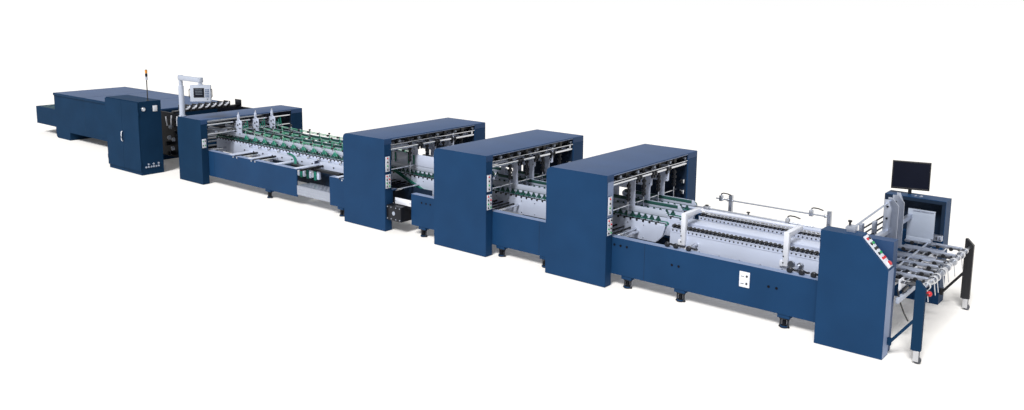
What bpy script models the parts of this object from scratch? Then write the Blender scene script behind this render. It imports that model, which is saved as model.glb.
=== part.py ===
"""A lock bottom folder gluer: a long line that folds and glues carton blanks.

The line is laid out from its delivery end (low X) to its feed end (high X). Y runs from the
operator's side to the far side, Z is up, and every size is in metres. The sizes are written in the
line's own frame, whose zero is the near left corner of the exit gantry. The empty line_datum moves
the whole line so that the middle of its floor plan is the world's origin.
"""

import math

import bmesh
import bpy
from mathutils import Matrix, Vector

# Clearances
SEAT = 0.0003
DOOR_GAP = 0.005

# How far joined pieces reach into each other or step back, so that their faces never share a plane
FACE_STEP = 0.001
JOINT_DEPTH = 0.01

# The run of the line, from the exit gantry to the feeder
EXIT_LENGTH = 0.836
FOLDING_BAY = 4.21
GLUING_LENGTH = 0.993
DRIVE_BAY = 1.085
LOCK_LENGTH = 1.038
LOCK_BAY = 1.084
PREFOLD_LENGTH = 0.981
TRANSFER_BAY = 2.801
FEEDER_LENGTH = 0.735

# Gantries
LINE_WIDTH = 2.436
GANTRY_HEIGHT = 1.5
EXIT_HEIGHT = 1.282
ROOF_DEPTH = 0.09
ROOF_CORNER = 0.06
NEAR_WALL = 0.15
FAR_WALL = 0.28
SHEET_EDGE = 0.012

# Control strips on the near housings, each as its low and high Y, then its low and high Z
CONTROL_STRIPS = ((0.005, 0.10, 0.97, 1.22), (0.005, 0.12, 0.70, 0.93))
EXIT_CONTROL_STRIPS = ((0.005, 0.10, 0.73, 0.91),)
CONTROL_STRIP_RISE = 0.012
CONTROL_STRIP_ROOT = 0.005

# Side frames and their feet
FRAME_PLATE = 0.02
FRAME_LOW = 0.165
FRAME_TOP = 0.66
FLANGE_WIDTH = 0.11
FLANGE_THICKNESS = 0.02
FLANGE_RISE = 0.002
FRAME_START = 0.02
FRAME_JOINT_INSET = 0.50
FOOT_END_GAP = 0.05
FOOT_BLOCK_RISE = 0.01
FOOT_STEM_DEPTH = 0.02
FOOT_RADIUS = 0.022
FOOT_PAD_RADIUS = 0.048
FOOT_PAD_HEIGHT = 0.022
FOOT_BLOCK = (0.09, 0.07, 0.11)
CROSS_RAILS = ((1.45, 0.15), (2.08, 0.10), (2.86, 0.12), (3.45, 0.11), (4.60, 0.10), (4.90, 0.12))
CROSS_RAIL_THICKNESS = 0.018
FOOT_NEAR_PLACES = (2.71, 4.75, 6.70, 8.30, 9.10, 10.45, 11.23, 12.585)

# Walkway between the two near frames of the folding bay, with its tread step
WALKWAY_START = 3.595
WALKWAY_LENGTH = 0.90
STEP_LOW = 0.207
STEP_TOP = 0.374
STEP_DEPTH = 0.30

# Drive unit in the gap beside the gluing gantry, tied to the main frame by a bracket
DRIVE_OPENING_LENGTH = 0.44
DRIVE_UNIT_LENGTH = 0.33
DRIVE_UNIT_FRONT = 0.03
DRIVE_UNIT_DEPTH = 0.25
DRIVE_UNIT_LOW = 0.20
DRIVE_UNIT_TOP = 0.44
DRIVE_BRACKET_START = 0.08
DRIVE_BRACKET_TOP = 0.55
DRIVE_BRACKET_DEPTH = 0.04

# Carriers, on which the blanks travel
WORKING_HEIGHT = 0.80
BLANK_SLOT = 0.03
CARRIER_NEAR_Y = 0.82
CARRIER_PITCH = 0.40
CARRIER_PLATE = 0.02
CARRIER_LOW = 0.50
CARRIER_PLATE_TOP = 0.755
BELT_WIDTH = 0.045
BELT_DEPTH = 0.055
BELT_OVERLAP = 0.01
UPPER_CARRIER_HEIGHT = 0.10
UPPER_NOSE = 0.05
HANGER_LENGTH = 0.085
HANGER_RISE = 0.035
HANGER_ROOT = 0.03
HANGER_THICKNESS = 0.016
CARRIER_GAP = 0.06
LOWER_SHAFT_Z = 0.60
LOWER_SHAFT_RADIUS = 0.02
UPPER_SHAFT_DROP = 0.17
UPPER_SHAFT_RADIUS = 0.018
SHAFT_INSET = 0.20
FIRST_SHAFT_INSET = 0.35
LAST_SHAFT_INSET = 0.12
FOLDING_START = 0.10
PREFOLD_NOSE = 0.45
CARRIER_TAIL = 0.17
CARRIER_TAIL_RISE = 0.12

# Hangers of the exit gantry, and the rails that run on from them over the folding bay
EXIT_SHAFT_INSET = 0.046
EXIT_SHAFT_CLEARANCE = 0.009
EXIT_HANGER_BACK = 0.035
EXIT_HANGER_LENGTH = 0.24
EXIT_HANGER_CLEARANCE = 0.005
EXIT_NECK_GAP = 0.029
EXIT_NECK_WIDTH = 0.04
EXIT_NECK_TOP = 1.30
FOLDING_RAIL_START_Z = 1.02
FOLDING_RAIL_END_Z = 0.96
FOLDING_RAIL_RADIUS = 0.0075
FOLDING_POST_RADIUS = 0.007
FOLDING_POST_COUNT = 4
FOLDING_POST_FIRST = 0.8
FOLDING_POST_RISE = 0.02

# Transfer carriers, each with a row of close rollers
ROLLER_RADIUS = 0.021
ROLLER_PITCH = 0.0585
ROLLER_SEGMENTS = 6
ROLLER_WIDTH = 0.06
TRANSFER_LIP = 0.012
TRANSFER_SIDE = 0.006
TRANSFER_INNER_DEPTH = 0.12
TRANSFER_END_GAP = 0.01
SUPPORT_PLATES = ((0.975, 0.25), (1.76, 0.14))
SUPPORT_TOP = 0.795
SUPPORT_THICKNESS = 0.022
SUPPORT_POST = 0.04
SUPPORT_POST_INSET = 0.02
ARM_BAR = 0.045
ARM_REACH = 0.42
ARM_TOP = 0.985
ARM_FOOT_RISE = 0.06
ARM_RAIL_WIDTH = 0.03
ARM_RAIL_DEPTH = 0.025
ARM_RAIL_DROP = 0.01
ARM_PLACES = (10.95, 12.345)
TRANSFER_SHAFT_INSET = 0.40
GAUGE_POST_PLACES = (10.96, 12.37)
GAUGE_POST = 0.05
GAUGE_POST_HEIGHT = 0.326
GAUGE_ROD_RADIUS = 0.011
GAUGE_ROD_DROP = 0.075
GAUGE_ROD_OVERHANG = 0.23

# Feeder
FEEDER_SET_OUT = 0.035
FEEDER_NEAR_WALL = 0.20
FEEDER_NEAR_HEIGHT = 1.304
FEEDER_CHAMFER_RUN = 0.309
FEEDER_CHAMFER_DROP = 0.32
INNER_COVER_WIDTH = 0.15
INNER_COVER_HEIGHT = 1.25
INNER_COVER_INSET = 0.02
FEEDER_FAR_WALL = 0.25
FEEDER_FAR_HEIGHT = 1.323
TRAY_RIM = 0.045
TRAY_DEPTH = 0.20
TRAY_LOW = 0.85
STRIP_WIDTH = 0.12
STRIP_THICKNESS = 0.012
STRIP_END = 0.02
BUTTON_RADIUS = 0.011
BUTTON_RISE = 0.010
BUTTON_GROUPS = 5
STOP_BUTTON_RADIUS = 0.024
STOP_BUTTON_RISE = 0.028
STOP_BUTTON_END = 0.04
GAUGE_BEAM_X = 13.40
GAUGE_BEAM_Z = 1.12
GAUGE_BEAM = 0.05
GAUGE_PLATE_SPACING = 0.22
GAUGE_PLATE_LOW = 0.90
GAUGE_PLATE_TOP = 1.50
GAUGE_PLATE_DEPTH = 0.115
GAUGE_PLATE_INSET = 0.005
GAUGE_CHAMFER_RUN = 0.07
GAUGE_CHAMFER_DROP = 0.08
GAUGE_CLAMP_START = 13.27
GAUGE_CLAMP_LENGTH = 0.09
GAUGE_CLAMP_DEPTH = 0.09
GAUGE_CLAMP_HEIGHT = 0.065
GAUGE_STAY_RADIUS = 0.011
GAUGE_STAY_DROP = 0.03
SIDE_STOP_LENGTH = 0.25
SIDE_STOP_TOP = 1.21
SIDE_STOP_THICKNESS = 0.012
SIDE_STOP_GAP = 0.005
GAUGE_PLATE_THICKNESS = 0.02
GAUGE_PLATE_COUNT = 2

# Feed table
TABLE_BAR_PLACES = (0.107, 0.237, 0.391, 0.512, 0.717, 0.909)
TABLE_BAR_SINK = 0.005
TABLE_BAR_OVERHANG = 0.02
TABLE_BAR_WIDTH = 0.035
TABLE_BAR_DEPTH = 0.03
TABLE_BAR_START = 13.36
TABLE_SHAFT_X = 14.057
TABLE_SHAFT_Z = 0.795
TABLE_SHAFT_RADIUS = 0.016
TABLE_BACK_SHAFT_X = 13.62
COLLAR_RADIUS = 0.038
COLLAR_WIDTH = 0.035
APRON_DEPTH = 0.20
APRON_THICKNESS = 0.012
APRON_INSET = 0.02
APRON_RISE = 0.002
LEG_WIDTH = 0.10
LEG_THICKNESS = 0.05
LEG_NEAR_Y = 0.117
LEG_FAR_INSET = 0.21
LEG_TOP = 0.90
LEG_LOW = 0.145
LEG_CHAMFER = 0.075
STRUT_BAR = 0.03
STRUT_FOOT_Z = 0.17
STRUT_TOP_Z = 0.52
STRUT_PLATE = 0.08
CASTER_WHEEL_RADIUS = 0.038
CASTER_WHEEL_WIDTH = 0.028
CASTER_TRAIL = 0.022
CASTER_WHEEL_GAP = 0.005
CASTER_FORK_PLATE = 0.004
CASTER_FORK_BACK = 0.02
CASTER_FORK_FRONT = 0.014
CASTER_FORK_DROP = 0.012
CASTER_PLATE = 0.008
CASTER_PLATE_RADIUS = 0.035
CASTER_AXLE_RADIUS = 0.005
CASTER_AXLE_END = 0.004
CASTER_BORE_GAP = 0.0005

# Monitor over the feeder's far wall
MONITOR_POST_X = 13.28
MONITOR_POST_RADIUS = 0.022
MONITOR_WIDTH = 0.45
MONITOR_HEIGHT = 0.36
MONITOR_THICKNESS = 0.035
MONITOR_CENTRE_Z = 1.567
MONITOR_TURN = math.radians(15)
MONITOR_POST_SET_BACK = 0.05
MONITOR_STAND_OFF = 0.01

# Control pendant on the exit gantry
PENDANT_POST_X = 0.075
PENDANT_POST_Y = 0.075
PENDANT_POST_RADIUS = 0.04
PENDANT_TOP = 2.09
PENDANT_ARM_LENGTH = 0.70
PENDANT_ARM = 0.07
PENDANT_BOX = (0.38, 0.10, 0.312)
PENDANT_BOSS = 0.03
PENDANT_COLLAR = 0.005
PENDANT_NECK_RADIUS = 0.032
PENDANT_DROP = 0.063
PENDANT_TURN = math.radians(47)

# Intake of the press, with its fanned row of holders
INTAKE_NEAR_Y = 0.66
INTAKE_FAR_INSET = 0.136
INTAKE_LOW = 0.20
INTAKE_HEIGHT = 1.15
INTAKE_WALL = 0.04
INTAKE_LEG = 0.10
INTAKE_NEAR_GAP = 0.12
INTAKE_ROLLER_RADIUS = 0.045
INTAKE_ROLLER_END = 0.10
INTAKE_ROLLERS = ((-1.46, 0.48), (-1.41, 0.27), (-1.07, 1.02), (-1.10, 0.75), (-0.50, 0.85))
HOLDER_X = -1.30
HOLDER_COUNT = 8
HOLDER_START_Y = 0.88
HOLDER_PITCH = 0.16
HOLDER_RISE = 0.15
HOLDER_LENGTH = 0.24
HOLDER_THICKNESS = 0.014
HOLDER_RAIL = 0.06
HOLDER_RAIL_DEPTH = 0.03

# Cabinet with two doors
CABINET_LEFT = -2.20
CABINET_WIDTH = 1.34
CABINET_FRONT = -0.33
CABINET_DEPTH = 0.48
CABINET_HEIGHT = 1.52
CABINET_WALL = 0.03
CABINET_DOOR = 0.02
HINGE_KNUCKLE_RADIUS = 0.0147
CABINET_PLINTH = 0.08
HINGE_HEIGHT = 0.25
HINGE_LENGTH = 0.08
HANDLE_Z = 0.76
HANDLE_INSET = 0.05
HANDLE_STUD = 0.014
HANDLE_LENGTH = 0.22
HANDLE_REACH = 0.035
HANDLE_BAR = 0.02
HANDLE_BAR_DEPTH = 0.012
TOWER_X = -0.93
TOWER_RADIUS = 0.022
TOWER_HEIGHT = 0.64
TOWER_LAMPS = 3
TOWER_LAMP_HEIGHT = 0.06
TOWER_LAMP_PITCH = 0.069
TOWER_LAMP_DROP = 0.07
TOWER_STEM_RADIUS = 0.011
TOWER_BASE_RADIUS = 0.035
TOWER_BASE_HEIGHT = 0.012

# Press section and delivery
PRESS_LEFT = -6.86
PRESS_RIGHT = -2.10
PRESS_NEAR_Y = 0.65
PRESS_FAR_Y = 2.52
PRESS_LOW = 0.20
PRESS_HEIGHT = 1.15
PRESS_COVER_DEPTH = 0.05
PRESS_COVER_LIP = 0.02
PRESS_LEG_LENGTH = 0.75
PRESS_LEG_CORNER = 0.10
DELIVERY_LENGTH = 1.18
DELIVERY_LOW = 0.256
DELIVERY_TOP = 0.70
DELIVERY_PLATE = 0.02
DELIVERY_INSET = 0.04

# Rounds
ROUND_SEGMENTS = 16
SHAFT_SEGMENTS = 10
SMALL_SEGMENTS = 8

# Places that follow from the sizes above
EXIT_RIGHT = EXIT_LENGTH
GLUING_LEFT = EXIT_RIGHT + FOLDING_BAY
GLUING_RIGHT = GLUING_LEFT + GLUING_LENGTH
LOCK_LEFT = GLUING_RIGHT + DRIVE_BAY
LOCK_RIGHT = LOCK_LEFT + LOCK_LENGTH
PREFOLD_LEFT = LOCK_RIGHT + LOCK_BAY
PREFOLD_RIGHT = PREFOLD_LEFT + PREFOLD_LENGTH
FEEDER_LEFT = PREFOLD_RIGHT + TRANSFER_BAY
FEEDER_RIGHT = FEEDER_LEFT + FEEDER_LENGTH
WALKWAY_END = WALKWAY_START + WALKWAY_LENGTH
DRIVE_OPENING_START = GLUING_RIGHT
DRIVE_OPENING_END = DRIVE_OPENING_START + DRIVE_OPENING_LENGTH
NEAR_INNER = NEAR_WALL + SEAT
FAR_INNER = LINE_WIDTH - FAR_WALL - SEAT
FRAME_NEAR_INNER = NEAR_INNER + FRAME_PLATE
FRAME_FAR_INNER = FAR_INNER - FRAME_PLATE
LEG_FAR_Y = LINE_WIDTH - LEG_FAR_INSET
INTAKE_FAR_Y = LINE_WIDTH - INTAKE_FAR_INSET
TABLE_NEAR_Y = FEEDER_NEAR_WALL - FEEDER_SET_OUT + INNER_COVER_WIDTH + 2 * SEAT
TABLE_FAR_Y = LINE_WIDTH - FEEDER_FAR_WALL - SEAT
CARRIER_YS = tuple(CARRIER_NEAR_Y + CARRIER_PITCH * index for index in range(3))
DELIVERY_LEFT = PRESS_LEFT - DELIVERY_LENGTH
CABINET_RIGHT = CABINET_LEFT + CABINET_WIDTH
DOOR_FRONT = CABINET_FRONT - DOOR_GAP - CABINET_DOOR
PLAN_RIGHT = TABLE_SHAFT_X + CASTER_TRAIL + CASTER_WHEEL_RADIUS
PLAN_NEAR = DOOR_FRONT - HANDLE_REACH - HANDLE_BAR / 2
CENTRE_X = (DELIVERY_LEFT + PLAN_RIGHT) / 2
CENTRE_Y = (PLAN_NEAR + PRESS_FAR_Y) / 2

line = None
parts = None
helpers = None


def clear_scene():
    """Empties the scene and makes the collections and the datum that carries the whole line."""
    global line, parts, helpers
    for item in list(bpy.data.objects):
        bpy.data.objects.remove(item, do_unlink=True)
    parts = bpy.data.collections.new("lock_bottom_folder_gluer")
    helpers = bpy.data.collections.new("joined_pieces_and_cutters")
    for collection in (parts, helpers):
        bpy.context.scene.collection.children.link(collection)
    line = bpy.data.objects.new("line_datum", None)
    line.location = (-CENTRE_X, -CENTRE_Y, 0.0)
    parts.objects.link(line)


def material(name, colour, roughness, metallic=0.0):
    made = bpy.data.materials.new(name)
    made.use_nodes = True
    shader = made.node_tree.nodes["Principled BSDF"]
    shader.inputs["Base Color"].default_value = (*colour, 1.0)
    shader.inputs["Roughness"].default_value = roughness
    shader.inputs["Metallic"].default_value = metallic
    made.diffuse_color = (*colour, 1.0)
    return made


def make_materials():
    return {
        "navy": material("navy_paint", (0.020, 0.058, 0.145), 0.42),
        "slate": material("slate_paint", (0.085, 0.125, 0.215), 0.45),
        "white": material("white_paint", (0.66, 0.68, 0.78), 0.40),
        "chrome": material("chromed_steel", (0.72, 0.72, 0.74), 0.18, 1.0),
        "steel": material("brushed_steel", (0.58, 0.59, 0.62), 0.35, 1.0),
        "black": material("black_plastic", (0.012, 0.012, 0.015), 0.45),
        "rubber": material("grey_rubber", (0.09, 0.09, 0.10), 0.80),
        "pendant": material("light_grey_paint", (0.62, 0.65, 0.70), 0.45),
    }


def placed(mesh_maker, name, pivot=(0.0, 0.0, 0.0)):
    """A mesh object whose origin is the pivot; mesh_maker fills a bmesh in line coordinates."""
    form = bmesh.new()
    mesh_maker(form)
    bmesh.ops.translate(form, verts=form.verts, vec=-Vector(pivot))
    mesh = bpy.data.meshes.new(name)
    form.to_mesh(mesh)
    form.free()
    item = bpy.data.objects.new(name, mesh)
    item.location = pivot
    item.parent = line
    helpers.objects.link(item)
    return item


def box(low, high, name="piece", pivot=(0.0, 0.0, 0.0)):
    middle = (Vector(low) + Vector(high)) / 2
    size = Vector(high) - Vector(low)

    def fill(form):
        place = Matrix.Translation(middle) @ Matrix.Diagonal((*size, 1.0))
        bmesh.ops.create_cube(form, size=1.0, matrix=place)

    return placed(fill, name, pivot)


def rod(start, end, radius, name="piece", segments=ROUND_SEGMENTS, pivot=(0.0, 0.0, 0.0)):
    """A round bar between two points."""
    start = Vector(start)
    end = Vector(end)
    along = end - start

    def fill(form):
        turn = along.to_track_quat("Z", "Y").to_matrix().to_4x4()
        place = Matrix.Translation((start + end) / 2) @ turn
        bmesh.ops.create_cone(
            form,
            cap_ends=True,
            segments=segments,
            radius1=radius,
            radius2=radius,
            depth=along.length,
            matrix=place,
        )

    item = placed(fill, name, pivot)
    item.data.shade_smooth()
    item.data.set_sharp_from_angle(angle=math.radians(40))
    return item


def bar(start, end, width, height, name="piece", pivot=(0.0, 0.0, 0.0)):
    """A rectangular bar between two points, with its width level."""
    start = Vector(start)
    end = Vector(end)
    along = end - start

    def fill(form):
        turn = along.to_track_quat("Z", "X").to_matrix().to_4x4()
        size = Matrix.Diagonal((height, width, along.length, 1.0))
        place = Matrix.Translation((start + end) / 2) @ turn @ size
        bmesh.ops.create_cube(form, size=1.0, matrix=place)

    return placed(fill, name, pivot)


def slab(outline, low_y, high_y, name="piece"):
    """A flat outline of X, Z points, drawn as a filled 2D curve and given its thickness along Y."""
    curve = bpy.data.curves.new(name, "CURVE")
    curve.dimensions = "2D"
    curve.fill_mode = "BOTH"
    curve.extrude = (high_y - low_y) / 2
    spline = curve.splines.new("POLY")
    spline.points.add(len(outline) - 1)
    for point, (x, z) in zip(spline.points, outline):
        point.co = (x, z, 0.0, 1.0)
    spline.use_cyclic_u = True
    drawn = bpy.data.objects.new(name + "_outline", curve)
    helpers.objects.link(drawn)
    graph = bpy.context.evaluated_depsgraph_get()
    mesh = bpy.data.meshes.new_from_object(drawn.evaluated_get(graph))
    form = bmesh.new()
    form.from_mesh(mesh)
    bmesh.ops.remove_doubles(form, verts=form.verts, dist=1e-6)
    stand = Matrix.Translation((0.0, (low_y + high_y) / 2, 0.0)) @ Matrix.Rotation(math.pi / 2, 4, "X")
    form.transform(stand)
    bmesh.ops.recalc_face_normals(form, faces=form.faces)
    form.to_mesh(mesh)
    form.free()
    mesh.name = name
    bpy.data.objects.remove(drawn, do_unlink=True)
    bpy.data.curves.remove(curve)
    item = bpy.data.objects.new(name, mesh)
    item.parent = line
    helpers.objects.link(item)
    return item


def corner(centre_x, centre_z, radius, start_degrees, steps=5):
    """Points of a quarter circle, for a rounded corner of an outline."""
    points = []
    for step in range(steps + 1):
        angle = math.radians(start_degrees + 90.0 * step / steps)
        points.append((centre_x + radius * math.cos(angle), centre_z + radius * math.sin(angle)))
    return points


def node(name, finish, pieces, cutters=()):
    """Makes the first piece the named node, joins the others to it, then cuts it."""
    main = pieces[0]
    main.name = name
    main.data.name = name
    helpers.objects.unlink(main)
    parts.objects.link(main)
    main.data.materials.clear()
    main.data.materials.append(finish)
    for operation, others in (("UNION", pieces[1:]), ("DIFFERENCE", cutters)):
        if not others:
            continue
        group = bpy.data.collections.new(f"{name}_{operation.lower()}")
        helpers.children.link(group)
        for index, other in enumerate(others):
            other.name = f"{name}_{operation.lower()}_{index}"
            other.hide_render = True
            other.display_type = "WIRE"
            helpers.objects.unlink(other)
            group.objects.link(other)
        change = main.modifiers.new(operation.title(), "BOOLEAN")
        change.operation = operation
        change.operand_type = "COLLECTION"
        change.collection = group
        change.solver = "EXACT"
    return main


def soften(item, width):
    """Rounds the edges of a folded sheet cover a little."""
    change = item.modifiers.new("Edges", "BEVEL")
    change.width = width
    change.segments = 2
    change.limit_method = "ANGLE"
    change.angle_limit = math.radians(50)


def make_gantry(name, left, right, height, strips, finishes):
    """Two legs and a roof; the near leg carries the control strips on its right face."""
    wall_top = height - ROOF_DEPTH - SEAT
    near = box((left, 0.0, 0.0), (right, NEAR_WALL, wall_top))
    soften(near, SHEET_EDGE)
    pieces = [near]
    for low_y, high_y, low_z, high_z in strips:
        root = (right - CONTROL_STRIP_ROOT, low_y, low_z)
        pieces.append(box(root, (right + CONTROL_STRIP_RISE, high_y, high_z)))
    node(f"{name}_near_housing", finishes["navy"], pieces)
    far = box((left, LINE_WIDTH - FAR_WALL, 0.0), (right, LINE_WIDTH, wall_top))
    soften(node(f"{name}_far_housing", finishes["navy"], [far]), SHEET_EDGE)
    low = height - ROOF_DEPTH
    outline = [(left, low), (right, low)]
    outline += corner(right - ROOF_CORNER, height - ROOF_CORNER, ROOF_CORNER, 0.0)
    outline += corner(left + ROOF_CORNER, height - ROOF_CORNER, ROOF_CORNER, 90.0)
    roof = slab(outline, 0.0, LINE_WIDTH)
    node(f"{name}_roof", finishes["slate"], [roof])


def frame_foot(x, wall_y, side):
    """A levelling foot under a block that is fixed to the inside of a side frame."""
    length, width, height = FOOT_BLOCK
    inner = wall_y + side * width
    centre_y = wall_y + side * width / 2
    block_low = FRAME_LOW + FOOT_BLOCK_RISE
    root = wall_y - side * JOINT_DEPTH
    block = box(
        (x - length / 2, min(root, inner), block_low),
        (x + length / 2, max(root, inner), block_low + height),
    )
    stem_top = (x, centre_y, block_low + FOOT_STEM_DEPTH)
    stem = rod((x, centre_y, FOOT_PAD_HEIGHT / 2), stem_top, FOOT_RADIUS, segments=SMALL_SEGMENTS)
    pad = rod((x, centre_y, 0.0), (x, centre_y, FOOT_PAD_HEIGHT), FOOT_PAD_RADIUS, segments=SHAFT_SEGMENTS)
    return [block, stem, pad]


def make_side_frame(name, start, end, side, foot_places, finish):
    """A side frame plate with a flange along its top; side is +1 near, -1 far."""
    outer = NEAR_INNER if side > 0 else FAR_INNER
    inner = outer + side * FRAME_PLATE
    edge = outer + side * FLANGE_WIDTH
    plate = box((start, min(outer, inner), FRAME_LOW), (end, max(outer, inner), FRAME_TOP))
    flange = box(
        (start + FACE_STEP, min(outer + side * FACE_STEP, edge), FRAME_TOP - FLANGE_THICKNESS),
        (end - FACE_STEP, max(outer + side * FACE_STEP, edge), FRAME_TOP + FLANGE_RISE),
    )
    pieces = [plate, flange]
    for x in foot_places:
        pieces += frame_foot(x, inner, side)
    if side > 0:
        pieces += cross_rails(start, end, outer)
    node(name, finish, pieces)


def cross_rails(start, end, outer):
    """Flat rails that run from the near frame's flange to the first carrier in the folding bay."""
    rails = []
    for x, width in CROSS_RAILS:
        if start < x and x + width < end:
            low = (x, outer + FLANGE_WIDTH / 2, FRAME_TOP - CROSS_RAIL_THICKNESS)
            rails.append(box(low, (x + width, CARRIER_NEAR_Y - CARRIER_PLATE / 2 - SEAT, FRAME_TOP)))
    return rails


def make_frames(finishes):
    walkway = (WALKWAY_START, WALKWAY_END)
    far_joint = GLUING_RIGHT - FRAME_JOINT_INSET
    spans = (
        ("folding_near_frame", FRAME_START, walkway[0], 1),
        ("gluing_near_frame", walkway[1], DRIVE_OPENING_START, 1),
        ("main_near_frame", DRIVE_OPENING_END, FEEDER_LEFT - SEAT, 1),
        ("folding_far_frame", FRAME_START, far_joint, -1),
        ("main_far_frame", far_joint + SEAT, FEEDER_LEFT - SEAT, -1),
    )
    for name, start, end, side in spans:
        feet = [x for x in FOOT_NEAR_PLACES if start + FOOT_END_GAP < x < end - FOOT_END_GAP]
        make_side_frame(name, start, end, side, feet, finishes["navy"])
    step = box(
        (WALKWAY_START + SEAT, NEAR_INNER, STEP_LOW),
        (WALKWAY_END - SEAT, NEAR_INNER + STEP_DEPTH, STEP_TOP),
    )
    node("walkway_tread_step", finishes["steel"], [step])


def lower_carriers(name, start, end, shaft_places, finish, shaft_end=FRAME_FAR_INNER - SEAT):
    pieces = []
    belt_low = WORKING_HEIGHT - BELT_DEPTH
    for y in CARRIER_YS:
        outline = [
            (start + BELT_DEPTH, CARRIER_LOW),
            (end - CARRIER_TAIL, CARRIER_LOW),
            (end - BELT_DEPTH, CARRIER_LOW + CARRIER_TAIL_RISE),
            (end - BELT_DEPTH, CARRIER_PLATE_TOP + BELT_OVERLAP),
            (start + BELT_DEPTH, CARRIER_PLATE_TOP + BELT_OVERLAP),
        ]
        pieces.append(slab(outline, y - CARRIER_PLATE / 2, y + CARRIER_PLATE / 2))
        half = BELT_DEPTH / 2
        outline = corner(end - half, belt_low + half, half, -90.0, 3)
        outline += corner(end - half, belt_low + half, half, 0.0, 3)[1:]
        outline += corner(start + half, belt_low + half, half, 90.0, 3)
        outline += corner(start + half, belt_low + half, half, 180.0, 3)[1:]
        pieces.append(slab(outline, y - BELT_WIDTH / 2, y + BELT_WIDTH / 2))
    for x in shaft_places:
        near = (x, FRAME_NEAR_INNER + SEAT, LOWER_SHAFT_Z)
        pieces.append(rod(near, (x, shaft_end, LOWER_SHAFT_Z), LOWER_SHAFT_RADIUS, segments=SHAFT_SEGMENTS))
    node(name, finish, pieces)


def upper_carriers(name, start, end, shafts, finish, more=()):
    """Hanging carriers; shafts holds the X and Z of the cross shafts that carry them."""
    pieces = []
    low = WORKING_HEIGHT + BLANK_SLOT
    top = low + UPPER_CARRIER_HEIGHT
    for y in CARRIER_YS:
        outline = corner(end - UPPER_NOSE, low + UPPER_NOSE, UPPER_NOSE, -90.0, 3)
        outline += corner(end - UPPER_NOSE, top - UPPER_NOSE, UPPER_NOSE, 0.0, 3)[1:]
        outline += corner(start + UPPER_NOSE, top - UPPER_NOSE, UPPER_NOSE, 90.0, 3)
        outline += corner(start + UPPER_NOSE, low + UPPER_NOSE, UPPER_NOSE, 180.0, 3)[1:]
        pieces.append(slab(outline, y - CARRIER_PLATE / 2, y + CARRIER_PLATE / 2))
        for x, shaft_z in shafts:
            pieces.append(
                box(
                    (x - HANGER_LENGTH / 2, y - HANGER_THICKNESS / 2, top - HANGER_ROOT),
                    (x + HANGER_LENGTH / 2, y + HANGER_THICKNESS / 2, shaft_z + HANGER_RISE),
                )
            )
    for x, shaft_z in shafts:
        near = (x, NEAR_INNER, shaft_z)
        far = (x, FAR_INNER, shaft_z)
        pieces.append(rod(near, far, UPPER_SHAFT_RADIUS, segments=SHAFT_SEGMENTS))
    pieces += more
    node(name, finish, pieces)


def exit_hangers(carrier_end):
    """Necked plates on the exit gantry's shaft, each with a rail that slopes to the next gantry."""
    pieces = []
    roof_low = EXIT_HEIGHT - ROOF_DEPTH
    shaft_x = EXIT_RIGHT - EXIT_SHAFT_INSET
    shaft_z = roof_low - EXIT_SHAFT_CLEARANCE - UPPER_SHAFT_RADIUS
    near = (shaft_x, NEAR_INNER, shaft_z)
    far = (shaft_x, FAR_INNER, shaft_z)
    pieces.append(rod(near, far, UPPER_SHAFT_RADIUS, segments=SHAFT_SEGMENTS))
    carrier_top = WORKING_HEIGHT + BLANK_SLOT + UPPER_CARRIER_HEIGHT
    left = shaft_x - EXIT_HANGER_BACK
    right = left + EXIT_HANGER_LENGTH
    neck = EXIT_RIGHT + EXIT_NECK_GAP
    shoulder = roof_low - EXIT_HANGER_CLEARANCE
    outline = [
        (left, carrier_top - UPPER_NOSE),
        (right, carrier_top - UPPER_NOSE),
        (right, shoulder),
        (neck + EXIT_NECK_WIDTH, shoulder + EXIT_NECK_WIDTH),
        (neck + EXIT_NECK_WIDTH, EXIT_NECK_TOP),
        (neck, EXIT_NECK_TOP),
        (neck, shoulder),
        (left, shoulder),
    ]
    rail_start = right - EXIT_NECK_WIDTH
    rail_end = carrier_end - UPPER_NOSE
    spacing = (rail_end - rail_start) / FOLDING_POST_COUNT
    slope = (FOLDING_RAIL_END_Z - FOLDING_RAIL_START_Z) / (rail_end - rail_start)
    for y in CARRIER_YS:
        pieces.append(slab(outline, y - HANGER_THICKNESS / 2, y + HANGER_THICKNESS / 2))
        start = (rail_start, y, FOLDING_RAIL_START_Z)
        end = (rail_end, y, FOLDING_RAIL_END_Z)
        pieces.append(rod(start, end, FOLDING_RAIL_RADIUS, segments=ROLLER_SEGMENTS))
        for index in range(FOLDING_POST_COUNT):
            x = rail_start + spacing * (index + FOLDING_POST_FIRST)
            top = FOLDING_RAIL_START_Z + slope * (x - rail_start) + FOLDING_POST_RISE
            foot = (x, y, carrier_top - FOLDING_POST_RISE)
            pieces.append(rod(foot, (x, y, top), FOLDING_POST_RADIUS, segments=ROLLER_SEGMENTS))
    return pieces


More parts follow.
